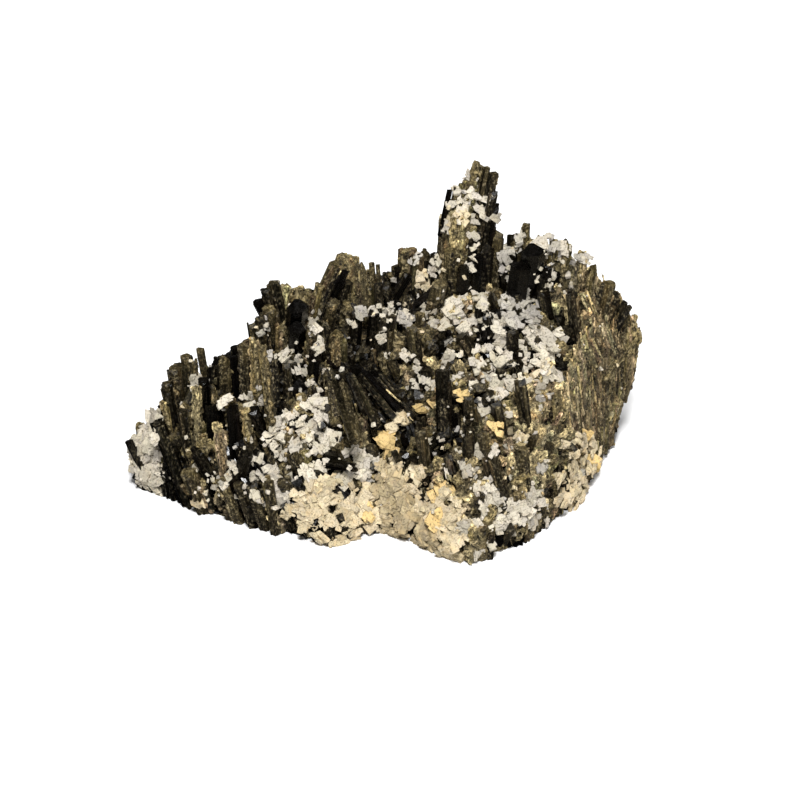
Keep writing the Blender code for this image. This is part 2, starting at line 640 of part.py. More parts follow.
def main():
    clear_scene()
    materials = {name: material(name) for name in COLOURS}
    core = core_mesh(0.0)
    tree = BVHTree.FromBMesh(core)
    crystals = placed_crystals(tree)
    crystals += fill_crystals(tree, crystals)
    crystals += rib_crystals(tree)
    print("prisms:", len(crystals))

    mass = joined_solid("clinozoisite_mass", [core] + [crystal_mesh(c, 0.0) for c in crystals])
    grown = joined_solid("grown_mass", [core_mesh(CORE_GAP)] + [crystal_mesh(c, GAP) for c in crystals])
    grown.hide_render = True
    grown.display_type = "WIRE"
    largest_piece(mass.data)
    mass.data.materials.append(materials["clinozoisite"])
    nodes = [mass]

    surface = bmesh.new()
    surface.from_mesh(mass.data)
    mass_tree = BVHTree.FromBMesh(surface)
    surface.free()
    others = []
    groups = []
    for name, patch in PATCHES.items():
        groups.append((name, patch.colour, patch_blocks(patch, tree, others)))
        others += groups[-1][2]
    for name, cluster in CLUSTERS.items():
        groups.append((name, cluster.colour, cluster_blocks(cluster, tree, others)))
        others += groups[-1][2]
    blocks = cluster_blocks(SPIRE_FELDSPAR, mass_tree, others)
    groups.append(("feldspar_spire", SPIRE_FELDSPAR.colour, blocks))
    for name, colour, blocks in groups:
        node = joined_solid(name, [block_mesh(block) for block in blocks])
        node.data = boolean(node, [grown], "DIFFERENCE")
        largest_piece(node.data)
        node.data.materials.append(materials[colour])
        nodes.append(node)
        print(name, "crystals:", len(blocks), "triangles:", len(node.data.polygons))
    discard([grown])

    corners = [vert.co for node in nodes for vert in node.data.vertices]
    middle = [0.5 * (min(c[axis] for c in corners) + max(c[axis] for c in corners)) for axis in (0, 1)]
    place = Matrix.Scale(METRE, 4) @ Matrix.Translation((-middle[0], -middle[1], 0.0))
    for node in nodes:
        node.data.name = node.name
        node.data.transform(place)
        node.data.update()
    print("middle:", middle, "triangles:", sum(len(node.data.polygons) for node in nodes))


main()
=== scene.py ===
import json
import math
import random

import bmesh
import bpy
import numpy as np
from mathutils import Matrix, Vector, noise
from mathutils.bvhtree import BVHTree
from mathutils.geometry import barycentric_transform

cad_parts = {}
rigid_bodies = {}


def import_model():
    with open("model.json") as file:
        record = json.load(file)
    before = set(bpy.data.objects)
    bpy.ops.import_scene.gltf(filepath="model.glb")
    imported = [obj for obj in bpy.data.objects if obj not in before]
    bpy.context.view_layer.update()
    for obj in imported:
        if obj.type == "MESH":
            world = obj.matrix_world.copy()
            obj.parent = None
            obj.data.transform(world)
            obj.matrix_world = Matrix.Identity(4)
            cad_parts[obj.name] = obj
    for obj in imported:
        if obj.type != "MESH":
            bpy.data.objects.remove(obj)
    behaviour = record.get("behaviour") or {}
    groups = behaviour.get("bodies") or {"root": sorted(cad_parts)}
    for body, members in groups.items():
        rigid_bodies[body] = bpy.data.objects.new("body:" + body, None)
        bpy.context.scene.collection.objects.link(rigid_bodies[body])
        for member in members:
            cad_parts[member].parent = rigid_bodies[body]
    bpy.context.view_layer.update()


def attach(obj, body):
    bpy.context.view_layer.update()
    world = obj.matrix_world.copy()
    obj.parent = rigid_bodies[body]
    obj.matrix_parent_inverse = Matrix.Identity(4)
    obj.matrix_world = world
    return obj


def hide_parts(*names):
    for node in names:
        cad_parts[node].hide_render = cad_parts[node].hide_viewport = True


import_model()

# Lengths in this script are millimetres. A piece is made in the specimen's own frame,
# and turned into metres and centred as the solids are when it is finished.
mm = 0.001
noise.seed_set(41)
rng = random.Random(41)
centre = Vector((0.8, 4.3, 0.0))      # what the solids are moved by, so that they stand centred

view = {
    "elevation": math.radians(27.0),
    "distance": 480.0,
    "aim": (2.6, 15.7),             # the middle of the picture, in the picture plane
    "halfWidth": 70.0,
    "sensor": 36.0,
    "clip": (0.01, 20.0),           # metres
}


# Small helpers

def clamp(value, low=0.0, high=1.0):
    return max(low, min(high, value))


def randomVector(lift=0.0, tall=1.0):
    return Vector((rng.gauss(0, 1), rng.gauss(0, 1), rng.gauss(lift, tall)))


def addObject(name, data):
    item = bpy.data.objects.new(name, data)
    bpy.context.scene.collection.objects.link(item)
    return item


def meshOf(name, bm):
    mesh = bpy.data.meshes.new(name)
    bm.to_mesh(mesh)
    bm.free()
    return mesh


# Camera and sight lines

def pictureAxes(side="front"):
    # what is right, up and away in the picture, and where the eye is
    turn = Matrix.Rotation(0.0 if side == "front" else math.pi, 3, "Z")
    sinE, cosE = math.sin(view["elevation"]), math.cos(view["elevation"])
    right, up, away = (turn @ Vector(axis) for axis in ((1, 0, 0), (0, sinE, cosE), (0, cosE, -sinE)))
    return right, up, away, right * view["aim"][0] + up * view["aim"][1] - away * view["distance"]


def sightLine(across, up, side="front"):
    right, upward, away, eye = pictureAxes(side)
    return eye, (right * across + upward * up - eye).normalized()


def seenAt(point, side):
    right, upward, away, eye = pictureAxes(side)
    ray = point - eye
    seen = eye + ray * (view["distance"] / ray.dot(away))
    return seen.dot(right), seen.dot(upward)


def surfaceUnder(tree, across, up, side="front"):
    eye, direction = sightLine(across, up, side)
    hit, normal = tree.ray_cast(eye, direction)[:2]
    if hit is None:
        hit, normal = tree.find_nearest(eye + direction * view["distance"])[:2]
    return hit, normal


def makeCamera():
    camera = addObject("camera", bpy.data.cameras.new("camera"))
    camera.location = (pictureAxes()[3] - centre) * mm
    camera.rotation_euler = (math.pi / 2 - view["elevation"], 0, 0)
    camera.data.sensor_width = view["sensor"]
    camera.data.lens = view["sensor"] / 2 * view["distance"] / view["halfWidth"]
    camera.data.clip_start, camera.data.clip_end = view["clip"]
    bpy.context.scene.camera = camera


makeCamera()
print("camera placed")


# Finishes

def newNode(tree, kind, inputs=None, **settings):
    # an input is a number or a colour, or another node's output to link to it
    node = tree.nodes.new(kind)
    for setting, choice in settings.items():
        setattr(node, setting, choice)
    for key, value in (inputs or {}).items():
        if isinstance(value, bpy.types.NodeSocket):
            tree.links.new(value, node.inputs[key])
        else:
            node.inputs[key].default_value = value
    return node


def mathNode(tree, operation, first, second):
    return newNode(tree, "ShaderNodeMath", {0: first, 1: second}, operation=operation).outputs["Value"]


def spread(tree, value, low, high, toLow, toHigh):
    inputs = {"Value": value, "From Min": low, "From Max": high, "To Min": toLow, "To Max": toHigh}
    return newNode(tree, "ShaderNodeMapRange", inputs).outputs["Result"]


def mixColour(tree, factor, first, second, blend="MIX"):
    return newNode(tree, "ShaderNodeMix", {0: factor, 6: first, 7: second},
                   data_type="RGBA", blend_type=blend).outputs[2]


def shaded(tree, colour, *shares):
    # the colour times each of the shares
    share = shares[0]
    for other in shares[1:]:
        share = mathNode(tree, "MULTIPLY", share, other)
    grey = newNode(tree, "ShaderNodeCombineColor", {"Red": share, "Green": share, "Blue": share})
    return mixColour(tree, 1.0, colour, grey.outputs["Color"], "MULTIPLY")


def streakGroup():
    # fine lines along a crystal, coarse grains and soft clouds over it, from its own coordinates
    tree = bpy.data.node_groups.new("crystalGrain", "ShaderNodeTree")
    for way, labels in (("INPUT", ("Grain", "Lines", "Grains")), ("OUTPUT", ("Streak", "Speckle", "Cloud"))):
        for label in labels:
            kind = "NodeSocketVector" if label == "Grain" else "NodeSocketFloat"
            tree.interface.new_socket(label, in_out=way, socket_type=kind)
    start, end = tree.nodes.new("NodeGroupInput"), tree.nodes.new("NodeGroupOutput")
    grain = start.outputs["Grain"]
    drawnOut = newNode(tree, "ShaderNodeVectorMath", {0: grain, 1: (1.0, 1.0, 0.07)}, operation="MULTIPLY")
    for label, vector, scale, detail, roughness in (
            ("Streak", drawnOut.outputs["Vector"], start.outputs["Lines"], 3.0, 0.65),
            ("Speckle", grain, start.outputs["Grains"], 4.0, 0.7),
            ("Cloud", grain, 0.45, 2.0, 0.5)):
        pattern = newNode(tree, "ShaderNodeTexNoise",
                          {"Vector": vector, "Scale": scale, "Detail": detail, "Roughness": roughness})
        tree.links.new(pattern.outputs["Fac"], end.inputs[label])
    return tree


def startMaterial(name, finish):
    # a crystal's own tint, how rough or stained it is, and the patterns over it
    material = bpy.data.materials.new(name)
    material.use_nodes = True
    tree = material.node_tree
    shader = tree.nodes["Principled BSDF"]
    shader.inputs["IOR"].default_value = finish["ior"]
    shader.inputs["Specular IOR Level"].default_value = finish["specular"]
    tint = newNode(tree, "ShaderNodeAttribute", attribute_name="tint").outputs
    grain = newNode(tree, "ShaderNodeAttribute", attribute_name="grain").outputs["Vector"]
    inputs = {"Grain": grain, "Lines": finish["lines"], "Grains": finish["grains"]}
    pattern = newNode(tree, "ShaderNodeGroup", inputs, node_tree=crystalGrain).outputs
    return material, tint["Color"], tint["Alpha"], pattern["Streak"], pattern["Speckle"], pattern["Cloud"]


def endMaterial(material, finish, colour, rough, height):
    tree = material.node_tree
    bump = newNode(tree, "ShaderNodeBump",
                   {"Strength": finish["bump"], "Distance": finish["bumpDepth"] * mm, "Height": height})
    for label, value in (("Base Color", colour), ("Roughness", rough), ("Normal", bump.outputs["Normal"])):
        tree.links.new(value, tree.nodes["Principled BSDF"].inputs[label])
    return material


def clinozoisiteMaterial():
    # streaked along each crystal's length; the rough ones are pitted and carry pale grains, and thin pale
    # lines along the streaks are painted glints
    finish = {
        "ior": 1.7, "specular": 0.14, "lines": 5.0, "grains": 2.1, "bump": 0.8, "bumpDepth": 0.25,
        # the colour of the dust grains and of the painted glint lines
        "dustAndGlint": (0.44, 0.36, 0.21, 1.0),
        # from low and high of a pattern, to low and high of what it makes
        "shade": (0.32, 0.68, 0.2, 2.0), "drift": (0.3, 0.7, 0.45, 1.7), "pits": (0.40, 0.55, 0.12, 1.15),
        "paleGrains": (0.53, 0.64, 0.0, 0.6), "paintedGlintLines": (0.66, 0.72, 0.0, 0.45),
        "dull": (0.1, 0.8, 0.0, 1.0), "lineHeight": (0.0, 1.0, 0.12, 1.0),
        "gloss": (0.0, 1.0, 0.2, 0.7), "glossSpeckle": (0.4, 0.6, -0.05, 0.12),
    }
    material, tint, rough, streak, speckle, cloud = startMaterial("clinozoisite", finish)
    tree = material.node_tree
    made = {label: spread(tree, pattern, *finish[label]) for label, pattern in (
        ("shade", streak), ("drift", cloud), ("pits", speckle), ("paleGrains", speckle),
        ("paintedGlintLines", streak), ("dull", rough), ("lineHeight", rough), ("gloss", rough),
        ("glossSpeckle", speckle))}
    pits = mathNode(tree, "MAXIMUM", made["pits"], mathNode(tree, "SUBTRACT", 1.0, rough))
    body = shaded(tree, tint, made["shade"], made["drift"], pits)
    # pale grains are dust on the rough crystals; pale lines along the streaks are painted glints, in the
    # same colour
    dustAndGlintShare = mathNode(tree, "MAXIMUM", mathNode(tree, "MULTIPLY", made["paleGrains"], made["dull"]),
                     mathNode(tree, "MULTIPLY", made["paintedGlintLines"], made["dull"]))
    gloss = mathNode(tree, "ADD", made["gloss"], made["glossSpeckle"])
    height = mathNode(tree, "ADD", mathNode(tree, "MULTIPLY", speckle, rough),
                      mathNode(tree, "MULTIPLY", streak, made["lineHeight"]))
    return endMaterial(material, finish, mixColour(tree, dustAndGlintShare, body, finish["dustAndGlint"]), gloss, height)


def feldsparMaterial():
    # milky crystals with dull cracks and a little iron stain
    finish = {
        "ior": 1.53, "specular": 0.2, "lines": 2.2, "grains": 2.4, "bump": 0.6, "bumpDepth": 0.2,
        "stain": (0.60, 0.42, 0.20, 1.0),
        "shade": (0.36, 0.48, 0.45, 1.0), "cracks": (0.35, 0.42, 0.45, 1.0), "stains": (0.5, 0.75, 0.0, 0.5),
        "gloss": (0.35, 0.65, 0.35, 0.6),
    }
    material, tint, stain, streak, speckle, cloud = startMaterial("feldspar", finish)
    tree = material.node_tree
    shade, cracks = spread(tree, speckle, *finish["shade"]), spread(tree, streak, *finish["cracks"])
    body = shaded(tree, tint, shade, cracks)
    stained = mathNode(tree, "MULTIPLY", spread(tree, cloud, *finish["stains"]), stain)
    return endMaterial(material, finish, mixColour(tree, stained, body, finish["stain"]),
                       spread(tree, speckle, *finish["gloss"]), mathNode(tree, "ADD", streak, speckle))


crystalGrain = streakGroup()
clinozoisite = clinozoisiteMaterial()
feldspar = feldsparMaterial()
print("finishes made")


# The mass under the crystals

mass = {
    # x, height of the underside, front y, brow (y, z), ridge (y, z), back y
    "stations": (
        (-43.5, 0.4, 0.8, (1.4, 4.5), (4.0, 8.0), 7.0),
        (-41.0, 0.0, -0.4, (0.6, 6.0), (4.0, 10.5), 8.5),
        (-37.0, 0.0, -4.0, (-1.5, 8.0), (4.0, 17.0), 12.0),
        (-31.0, 0.0, -9.0, (-6.5, 8.5), (5.0, 19.5), 16.0),
        (-23.0, 0.0, -13.8, (-10.5, 9.5), (7.0, 25.5), 20.0),
        (-14.0, 0.0, -17.6, (-13.5, 9.5), (9.0, 31.0), 24.0),
        (-9.0, 0.0, -20.6, (-15.5, 8.5), (10.0, 33.5), 26.0),
        (-2.0, 0.0, -14.5, (-12.5, 8.5), (11.0, 34.5), 28.5),
        (6.0, 0.0, -18.9, (-14.5, 9.0), (12.0, 36.0), 30.5),
        (10.0, 0.0, -23.4, (-18.4, 9.2), (12.0, 36.5), 31.2),
        (14.0, 0.0, -25.8, (-21.0, 9.5), (12.0, 37.0), 32.0),
        (23.0, 0.0, -20.6, (-16.5, 11.0), (14.0, 37.5), 33.0),
        (29.0, 0.0, -12.2, (-8.5, 16.0), (15.0, 36.5), 33.5),
        (33.0, 0.0, -5.0, (-0.5, 23.5), (16.5, 35.0), 33.5),
        (36.0, 0.0, 3.4, (6.0, 26.5), (18.0, 32.5), 33.0),
        (39.0, 1.0, 10.6, (12.0, 25.0), (20.0, 29.5), 32.0),
        (42.0, 4.0, 17.6, (18.5, 21.0), (22.0, 25.0), 30.0),
        (44.5, 12.0, 21.5, (22.0, 15.0), (24.0, 18.5), 27.0),
    ),
    "lip": 2.6,
    "undercut": 1.2,
    "midSlope": (0.6, 0.8),             # how far the slope bulges halfway from brow to ridge
    "backHeights": (0.86, 0.46, 0.14),  # where the back bends, as shares of the ridge's height
    "backFoot": 0.3,
    "still": 0.1,                       # what lies lower than this over the base stays where it is
    "roughness": 0.7,
    "roughnessScale": 0.21,
}


def stationRing(station):
    x, floor, front, brow, ridge, back = station
    rise = ridge[1] - floor
    lip = min(mass["lip"], 0.3 * rise)
    high, middle, low = (floor + share * rise for share in mass["backHeights"])
    bulgeOut, bulgeUp = mass["midSlope"]
    footFront, footBack = front + mass["undercut"], back - mass["undercut"]
    outline = ((footFront, floor), (front, floor + lip), brow,
               (0.5 * (brow[0] + ridge[0]) - bulgeOut, 0.5 * (brow[1] + ridge[1]) + bulgeUp), ridge,
               (0.45 * ridge[0] + 0.55 * back, high), (back, middle), (back - mass["backFoot"], low),
               (footBack, floor), (0.5 * (footFront + footBack), floor))
    return [Vector((x, y, z)) for y, z in outline]


def massLoft(sunk):
    bm = bmesh.new()
    loops = []
    for station in mass["stations"]:
        verts = []
        for point in stationRing(station):
            if point.z > station[1] + mass["still"]:
                point = point + noise.noise_vector(point * mass["roughnessScale"]) * mass["roughness"]
            verts.append(bm.verts.new(point))
        loops.append([bm.edges.new(pair) for pair in zip(verts, verts[1:] + verts[:1])])
    for first, second in zip(loops, loops[1:]):
        bmesh.ops.bridge_loops(bm, edges=first + second)
    for end in (loops[0], loops[-1]):
        bmesh.ops.edgeloop_fill(bm, edges=end)
    bmesh.ops.triangulate(bm, faces=bm.faces)
    bmesh.ops.recalc_face_normals(bm, faces=bm.faces)
    if sunk:
        bm.normal_update()
        for vert, move in [(v, v.normal * sunk) for v in bm.verts]:
            if vert.co.z > mass["still"]:
                vert.co -= move
    return bm


def ridgeAt(x):
    # how far back the ridge lies
    stations = mass["stations"]
    for first, second in zip(stations, stations[1:]):
        if x < second[0]:
            break
    share = clamp((x - first[0]) / (second[0] - first[0]))
    return first[4][0] + share * (second[4][0] - first[4][0])


lean = {
    # in degrees: at x = 0, for each millimetre of x, and the least and most
    "right": (-6.0, 0.42, -26.0, 6.0),
    "flank": (33.0, 0.9),           # from this x on, and for each millimetre past it
    "middle": (4.0, 0.3, 20.0),     # where the prisms lean neither to the front nor to the back
    "back": (0.7, -12.0, 16.0),     # for each millimetre from the middle, and the least and most
}


def growth(point):
    # prisms fan out to the left, stand upright in the middle and lean right on the flank
    start, each, least, most = lean["right"]
    right = clamp(start + each * point.x, least, most)
    right += max(0.0, point.x - lean["flank"][0]) * lean["flank"][1]
    middle = lean["middle"][0] + lean["middle"][1] * (point.x + lean["middle"][2])
    each, least, most = lean["back"]
    back = clamp(each * (point.y - middle), least, most)
    return Vector((math.sin(math.radians(right)), math.sin(math.radians(back)), 1.0)).normalized()


# how far painted shade darkens what lies low between the crystals, with less of it low on the rim
creviceShade = {"least": 0.05, "level": 0.57, "slope": 0.5, "rimHeight": 5.0, "rimLeast": 0.35}


def paintCreviceShade(bm, tree):
    # painted shade: what lies low between the crystals gets a darker tint, and what stands out is darkened
    # less or not at all
    tint = bm.verts.layers.float_color["tint"]
    for vert in bm.verts:
        hit, normal = tree.find_nearest(vert.co)[:2]
        least = creviceShade["least"] if vert.co.z > creviceShade["rimHeight"] else creviceShade["rimLeast"]
        share = clamp((vert.co - hit).dot(normal) * creviceShade["slope"] + creviceShade["level"], least)
        red, green, blue, rough = vert[tint]
        vert[tint] = (red * share, green * share, blue * share, rough)


def finishPiece(name, bm, material, slotName, *nodes):
    # cut off flat at the base, centre as the solids are, and ride on the one body
    for vert in bm.verts:
        if vert.co.z < 0.0:
            vert.co.z = 0.0
    mesh = meshOf(name, bm)
    mesh.transform(Matrix.Scale(mm, 4) @ Matrix.Translation(-centre))
    mesh.materials.append(material)
    piece = addObject(name, mesh)
    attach(piece, "root")
    if nodes:
        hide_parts(*nodes)
    mesh.calc_loop_triangles()
    print(name, "triangles:", len(mesh.loop_triangles))


def remeshed(bm, voxel):
    # the crystals' outer skin as one mesh of even faces, with room for its tint and grain
    rough = addObject("rough", meshOf("rough", bm))
    modifier = rough.modifiers.new("remesh", "REMESH")
    modifier.mode = "VOXEL"
    modifier.voxel_size = voxel
    graph = bpy.context.evaluated_depsgraph_get()
    result = bmesh.new()
    result.from_mesh(rough.evaluated_get(graph).to_mesh())
    bpy.data.objects.remove(rough, do_unlink=True)
    result.normal_update()
    return result, result.verts.layers.float_color.new("tint"), result.verts.layers.float_vector.new("grain")


rock = {
    "sunk": 1.5,            # how far it lies below the solids' surface, between the prisms
    "voxel": 0.55,
    "ribDepth": 0.9, "ribPitch": 1.25, "ribFlow": 0.05,
    "fineShare": 0.5, "fineTimes": 2.3, "fineFlow": 0.04,
    "crackCell": 1.6, "crackFlow": 0.3, "crackDepth": 0.5, "grainSteps": 0.9,
    "lumpDepth": 0.55, "lumpScale": 0.5,
    "tone": 0.12, "grainTone": 0.35, "driftTone": 0.3, "driftScale": 0.16,
    "flankTone": 0.45, "flankFrom": 30.0, "flankFade": 4.0,
    "cornerTone": 0.3, "cornerFrom": 10.0, "cornerBelow": 7.0,      # low on the front corner
}


def makeRock(tree):
    # the broken columnar rock between and below the prisms
    bm, tint, grain = remeshed(massLoft(rock["sunk"]), rock["voxel"])
    moves = []
    for vert in bm.verts:
        point, normal = vert.co.copy(), vert.normal
        along = growth(point)
        rel = point - along * point.z / along.z
        wall = 1.0 - abs(normal.dot(along))
        rib = noise.noise(Vector((rel.x, rel.y, point.z * rock["ribFlow"])) / rock["ribPitch"])
        fine = Vector((rel.x, rel.y, point.z * rock["fineFlow"])) * rock["fineTimes"]
        rib += rock["fineShare"] * noise.noise(fine / rock["ribPitch"])
        crack, own = cracked(Vector((rel.x, rel.y, point.z * rock["crackFlow"])), rock["crackCell"])
        lumps = noise.fractal(point * rock["lumpScale"], 1.0, 2.1, 4)
        move = rib * rock["ribDepth"] * wall + lumps * rock["lumpDepth"]
        move += (own - 0.5) * rock["grainSteps"]
        move -= (1 - crack) * rock["crackDepth"]
        moves.append(normal * move if point.z > 0.3 else Vector())
        tone = rock["tone"] + rock["grainTone"] * own
        tone += rock["driftTone"] * noise.noise(point * rock["driftScale"])
        tone += rock["flankTone"] * (clamp((point.x - rock["flankFrom"]) / rock["flankFade"]) * wall)
        if point.x > rock["cornerFrom"] and point.z < rock["cornerBelow"]:
            tone += rock["cornerTone"]
        # painted shade darkens the tint in the cracks
        tone = clamp(tone * (0.25 + 0.75 * crack))
        vert[tint] = darkTint(tone, 0.55 + 0.4 * tone)
        vert[grain] = Vector((rel.x, rel.y, point.z))
    for vert, move in zip(bm.verts, moves):
        vert.co += move
    paintCreviceShade(bm, tree)
    finishPiece("columnar_rock", bm, clinozoisite, "clinozoisite", "clinozoisite_mass")


# Colours of the two minerals, from dark and glossy to pale and rough

darkTones = (
    (0.0, (0.0010, 0.0008, 0.0006)),
    (0.3, (0.0040, 0.0030, 0.0014)),
    (0.5, (0.038, 0.0285, 0.0112)),
    (0.75, (0.178, 0.137, 0.059)),
    (1.0, (0.440, 0.350, 0.180)),
)
feldsparTones = {
    "white": (0.51, 0.46, 0.37),
    "grey": (0.38, 0.35, 0.30),
    "cream": (0.55, 0.46, 0.305),
    "tan": (0.41, 0.332, 0.203),
    "yellow": (0.60, 0.43, 0.185),
}
stains = {"white": 0.3, "grey": 0.1, "cream": 0.9, "tan": 0.9, "yellow": 1.0}


def darkTint(tone, rough):
    for (low, first), (high, second) in zip(darkTones, darkTones[1:]):
        if tone <= high:
            break
    colour = Vector(first).lerp(Vector(second), clamp((tone - low) / (high - low)))
    return (*colour, rough)


def toneTint(tone):
    # a prism's own tint, a little off its tone
    tone = clamp(tone)
    red, green, blue, rough = darkTint(tone, tone * 1.25 + rng.uniform(-0.25, 0.25))
    return (red * rng.uniform(0.9, 1.14), green * rng.uniform(0.92, 1.06), blue * rng.uniform(0.85, 1.2),
            clamp(rough))


def paleTint(tone, stain, share=1.0):
    colour = Vector(feldsparTones[tone]) * share * rng.uniform(0.9, 1.08)
    colour.z *= rng.uniform(0.94, 1.04)
    return (*colour, stain)


# Crystal shapes, each made once and copied into the pieces

def cutOff(bm, through, facing):
    cut = bmesh.ops.bisect_plane(bm, geom=bm.verts[:] + bm.edges[:] + bm.faces[:],
                                 plane_co=through, plane_no=facing, clear_outer=True)
    rim = [e for e in cut["geom_cut"] if isinstance(e, bmesh.types.BMEdge)]
    if rim:
        bmesh.ops.edgeloop_fill(bm, edges=rim)


def keepShape(name, bm):
    bmesh.ops.recalc_face_normals(bm, faces=bm.faces)
    mesh = meshOf(name, bm)
    mesh.attributes.new("tint", "FLOAT_COLOR", "POINT")
    mesh.attributes.new("grain", "FLOAT_VECTOR", "POINT")
    coords = np.empty(len(mesh.vertices) * 3, np.float32)
    mesh.vertices.foreach_get("co", coords)
    return {"mesh": mesh, "coords": coords.reshape(-1, 3)}


def prismShape(name, sides, groove, aspect):
    # a grooved prism of unit width and length, its tip cut at slopes true for the given aspect
    bm = bmesh.new()
    bmesh.ops.create_cone(bm, cap_ends=True, segments=sides, radius1=0.5, radius2=0.5, depth=aspect)
    bmesh.ops.translate(bm, vec=(0, 0, aspect / 2), verts=bm.verts)
    depth = [1.0 - groove * rng.random() * (k % 2) for k in range(sides)]
    for vert in bm.verts:
        angle = math.atan2(vert.co.y, vert.co.x) % math.tau
        share = depth[int(round(angle * sides / math.tau)) % sides]
        vert.co.x *= share
        vert.co.y *= share * 0.8
    if rng.random() < 0.45:
        # a chisel edge
        left, right, cuts = rng.uniform(0.5, 1.0), rng.uniform(0.4, 0.9), (0.1, 0.0)
    else:
        left, right, cuts = rng.uniform(0.05, 0.5), 0.9, (-0.2, 0.3)
    cutOff(bm, (cuts[0], 0, aspect), Vector((-left, rng.uniform(-0.3, 0.3), 1.0)).normalized())
    cutOff(bm, (cuts[1], 0, aspect), Vector((right, rng.uniform(-0.5, 0.5), 1.0)).normalized())
    bmesh.ops.scale(bm, vec=(1, 1, 1 / aspect), verts=bm.verts)
    return keepShape(name, bm)


def prismSet(kind, sides, groove, count):
    return {aspect: [prismShape(f"{kind}{aspect}_{k}", sides, groove, aspect) for k in range(count)]
            for aspect in (2, 4, 8)}


def chunkShape(index):
    # a short broken crystal
    bm = bmesh.new()
    bmesh.ops.create_cone(bm, cap_ends=True, segments=6, radius1=0.5, radius2=0.45, depth=1.0)
    bmesh.ops.translate(bm, vec=(0, 0, 0.5), verts=bm.verts)
    for corner in range(5):
        facing = randomVector(0.4).normalized()
        cutOff(bm, Vector((0, 0, 0.5)) + facing * rng.uniform(0.36, 0.5), facing)
    return keepShape(f"chunk{index}", bm)


def blockShape(index):
    # a sheared feldspar block of unit size with some corners broken off
    bm = bmesh.new()
    bmesh.ops.create_cube(bm, size=1.0)
    bmesh.ops.scale(bm, vec=(1.0, rng.uniform(0.6, 0.95), rng.uniform(0.45, 0.8)), verts=bm.verts)
    bm.transform(Matrix.Shear("XY", 4, (rng.uniform(0.1, 0.45), rng.uniform(-0.1, 0.1))))
    for corner in range(rng.choice((2, 3, 4))):
        facing = randomVector(0.0, 0.5).normalized()
        cutOff(bm, facing * rng.uniform(0.26, 0.44), facing)
    return keepShape(f"block{index}", bm)


slimShapes = prismSet("slim", 8, 0.3, 8)
stoutShapes = prismSet("stout", 16, 0.22, 4)
broadShapes = prismSet("broad", 6, 0.0, 3)
chunkShapes = [chunkShape(k) for k in range(10)]
blockShapes = [blockShape(k) for k in range(16)]


def addShape(bm, shape, matrix, scale, tint, footShade=1.0, tipLight=1.0):
    copy = shape["mesh"].copy()
    offset = np.array([rng.uniform(0, 400) for axis in range(3)], np.float32)
    grain = shape["coords"] * np.array(scale, np.float32) + offset
    copy.attributes["grain"].data.foreach_set("vector", grain.ravel())
    tints = np.tile(np.array(tint, np.float32), (len(copy.vertices), 1))
    # painted shade darkens the tint toward the foot, and painted light brightens it toward the tip
    tints[:, :3] *= (footShade + (tipLight - footShade) * shape["coords"][:, 2:3])
    copy.attributes["tint"].data.foreach_set("color", tints.ravel())
    copy.transform(matrix @ Matrix.Diagonal((*scale, 1.0)))
    bm.from_mesh(copy)
    bpy.data.meshes.remove(copy)


def anyTurn():
    axis = randomVector().normalized()
    return Matrix.Rotation(rng.uniform(0, math.tau), 4, axis)


def turnTo(axis, spin):
    return (axis.to_track_quat("Z", "Y").to_matrix() @ Matrix.Rotation(spin, 3, "Z")).to_4x4()


def cracked(point, cell):
    # how far a point lies from the nearest crack, and a value of its own for its grain
    far, near = noise.voronoi(point / cell)
    return min(1.0, (far[1] - far[0]) / 0.22), noise.cell(near[0] * 7.3)


def newPair():
    return {"crisp": bmesh.new(), "rough": bmesh.new()}


weather = {"cell": 0.95, "squeeze": 0.6, "steps": 0.26, "cracks": 0.16, "lumps": 0.2, "lumpScale": 0.9}


def weathered(source, voxel):
    # rough crystals grown together: each point keeps the tone and grain of the crystal it is on
    source.faces.ensure_lookup_table()
    tree = BVHTree.FromBMesh(source)
    tintFrom, grainFrom = source.verts.layers.float_color["tint"], source.verts.layers.float_vector["grain"]
    bm, tint, grain = remeshed(source.copy(), voxel)
    moves = []
    for vert in bm.verts:
        near = source.faces[tree.find_nearest(vert.co)[2]].verts[:3]
        corners = [v.co for v in near]
        local = barycentric_transform(vert.co, *corners, *(v[grainFrom] for v in near))
        colour = barycentric_transform(vert.co, *corners, *(Vector(v[tintFrom][:3]) for v in near))
        crack, own = cracked(Vector((local.x, local.y, local.z * weather["squeeze"])), weather["cell"])
        lumps = noise.fractal(local * weather["lumpScale"], 0.8, 2.0, 3)
        moves.append(vert.normal * (lumps * weather["lumps"] + (own - 0.5) * weather["steps"]
                                    - (1.0 - crack) * weather["cracks"]))
        # the tint varies from grain to grain, and painted shade darkens it in the cracks between them
        shade = (0.75 + 0.5 * own) * (0.45 + 0.55 * crack)
        vert[tint] = (*(max(0.0, value) * shade for value in colour), near[0][tintFrom][3])
        vert[grain] = local
    for vert, move in zip(bm.verts, moves):
        vert.co += move
    source.free()
    return bm


def finishPair(name, pair, voxel, tree):
    bm = pair["crisp"]
    rough = weathered(pair["rough"], voxel) if pair["rough"].verts else pair["rough"]
    joined = meshOf("joined", rough)
    bm.from_mesh(joined)
    bpy.data.meshes.remove(joined)
    paintCreviceShade(bm, tree)
    finishPiece(name, bm, clinozoisite, "clinozoisite")


def addPrism(pair, foot, tip, width, thickness, spin, tint, choice=slimShapes):
    # rough ones are weathered with their neighbours later, and dark or thin ones stay crisp
    bm = pair["rough" if tint[3] > 0.6 and width > 0.7 else "crisp"]
    axis = tip - foot
    matrix = Matrix.Translation(foot) @ turnTo(axis.normalized(), spin)
    aspect = axis.length / width
    fitting = choice[2 if aspect < 3 else 4 if aspect < 6 else 8]
    # with painted shade at the foot and painted light at the tip
    addShape(bm, rng.choice(fitting), matrix, (width, thickness, axis.length), tint, 0.5, 1.55)


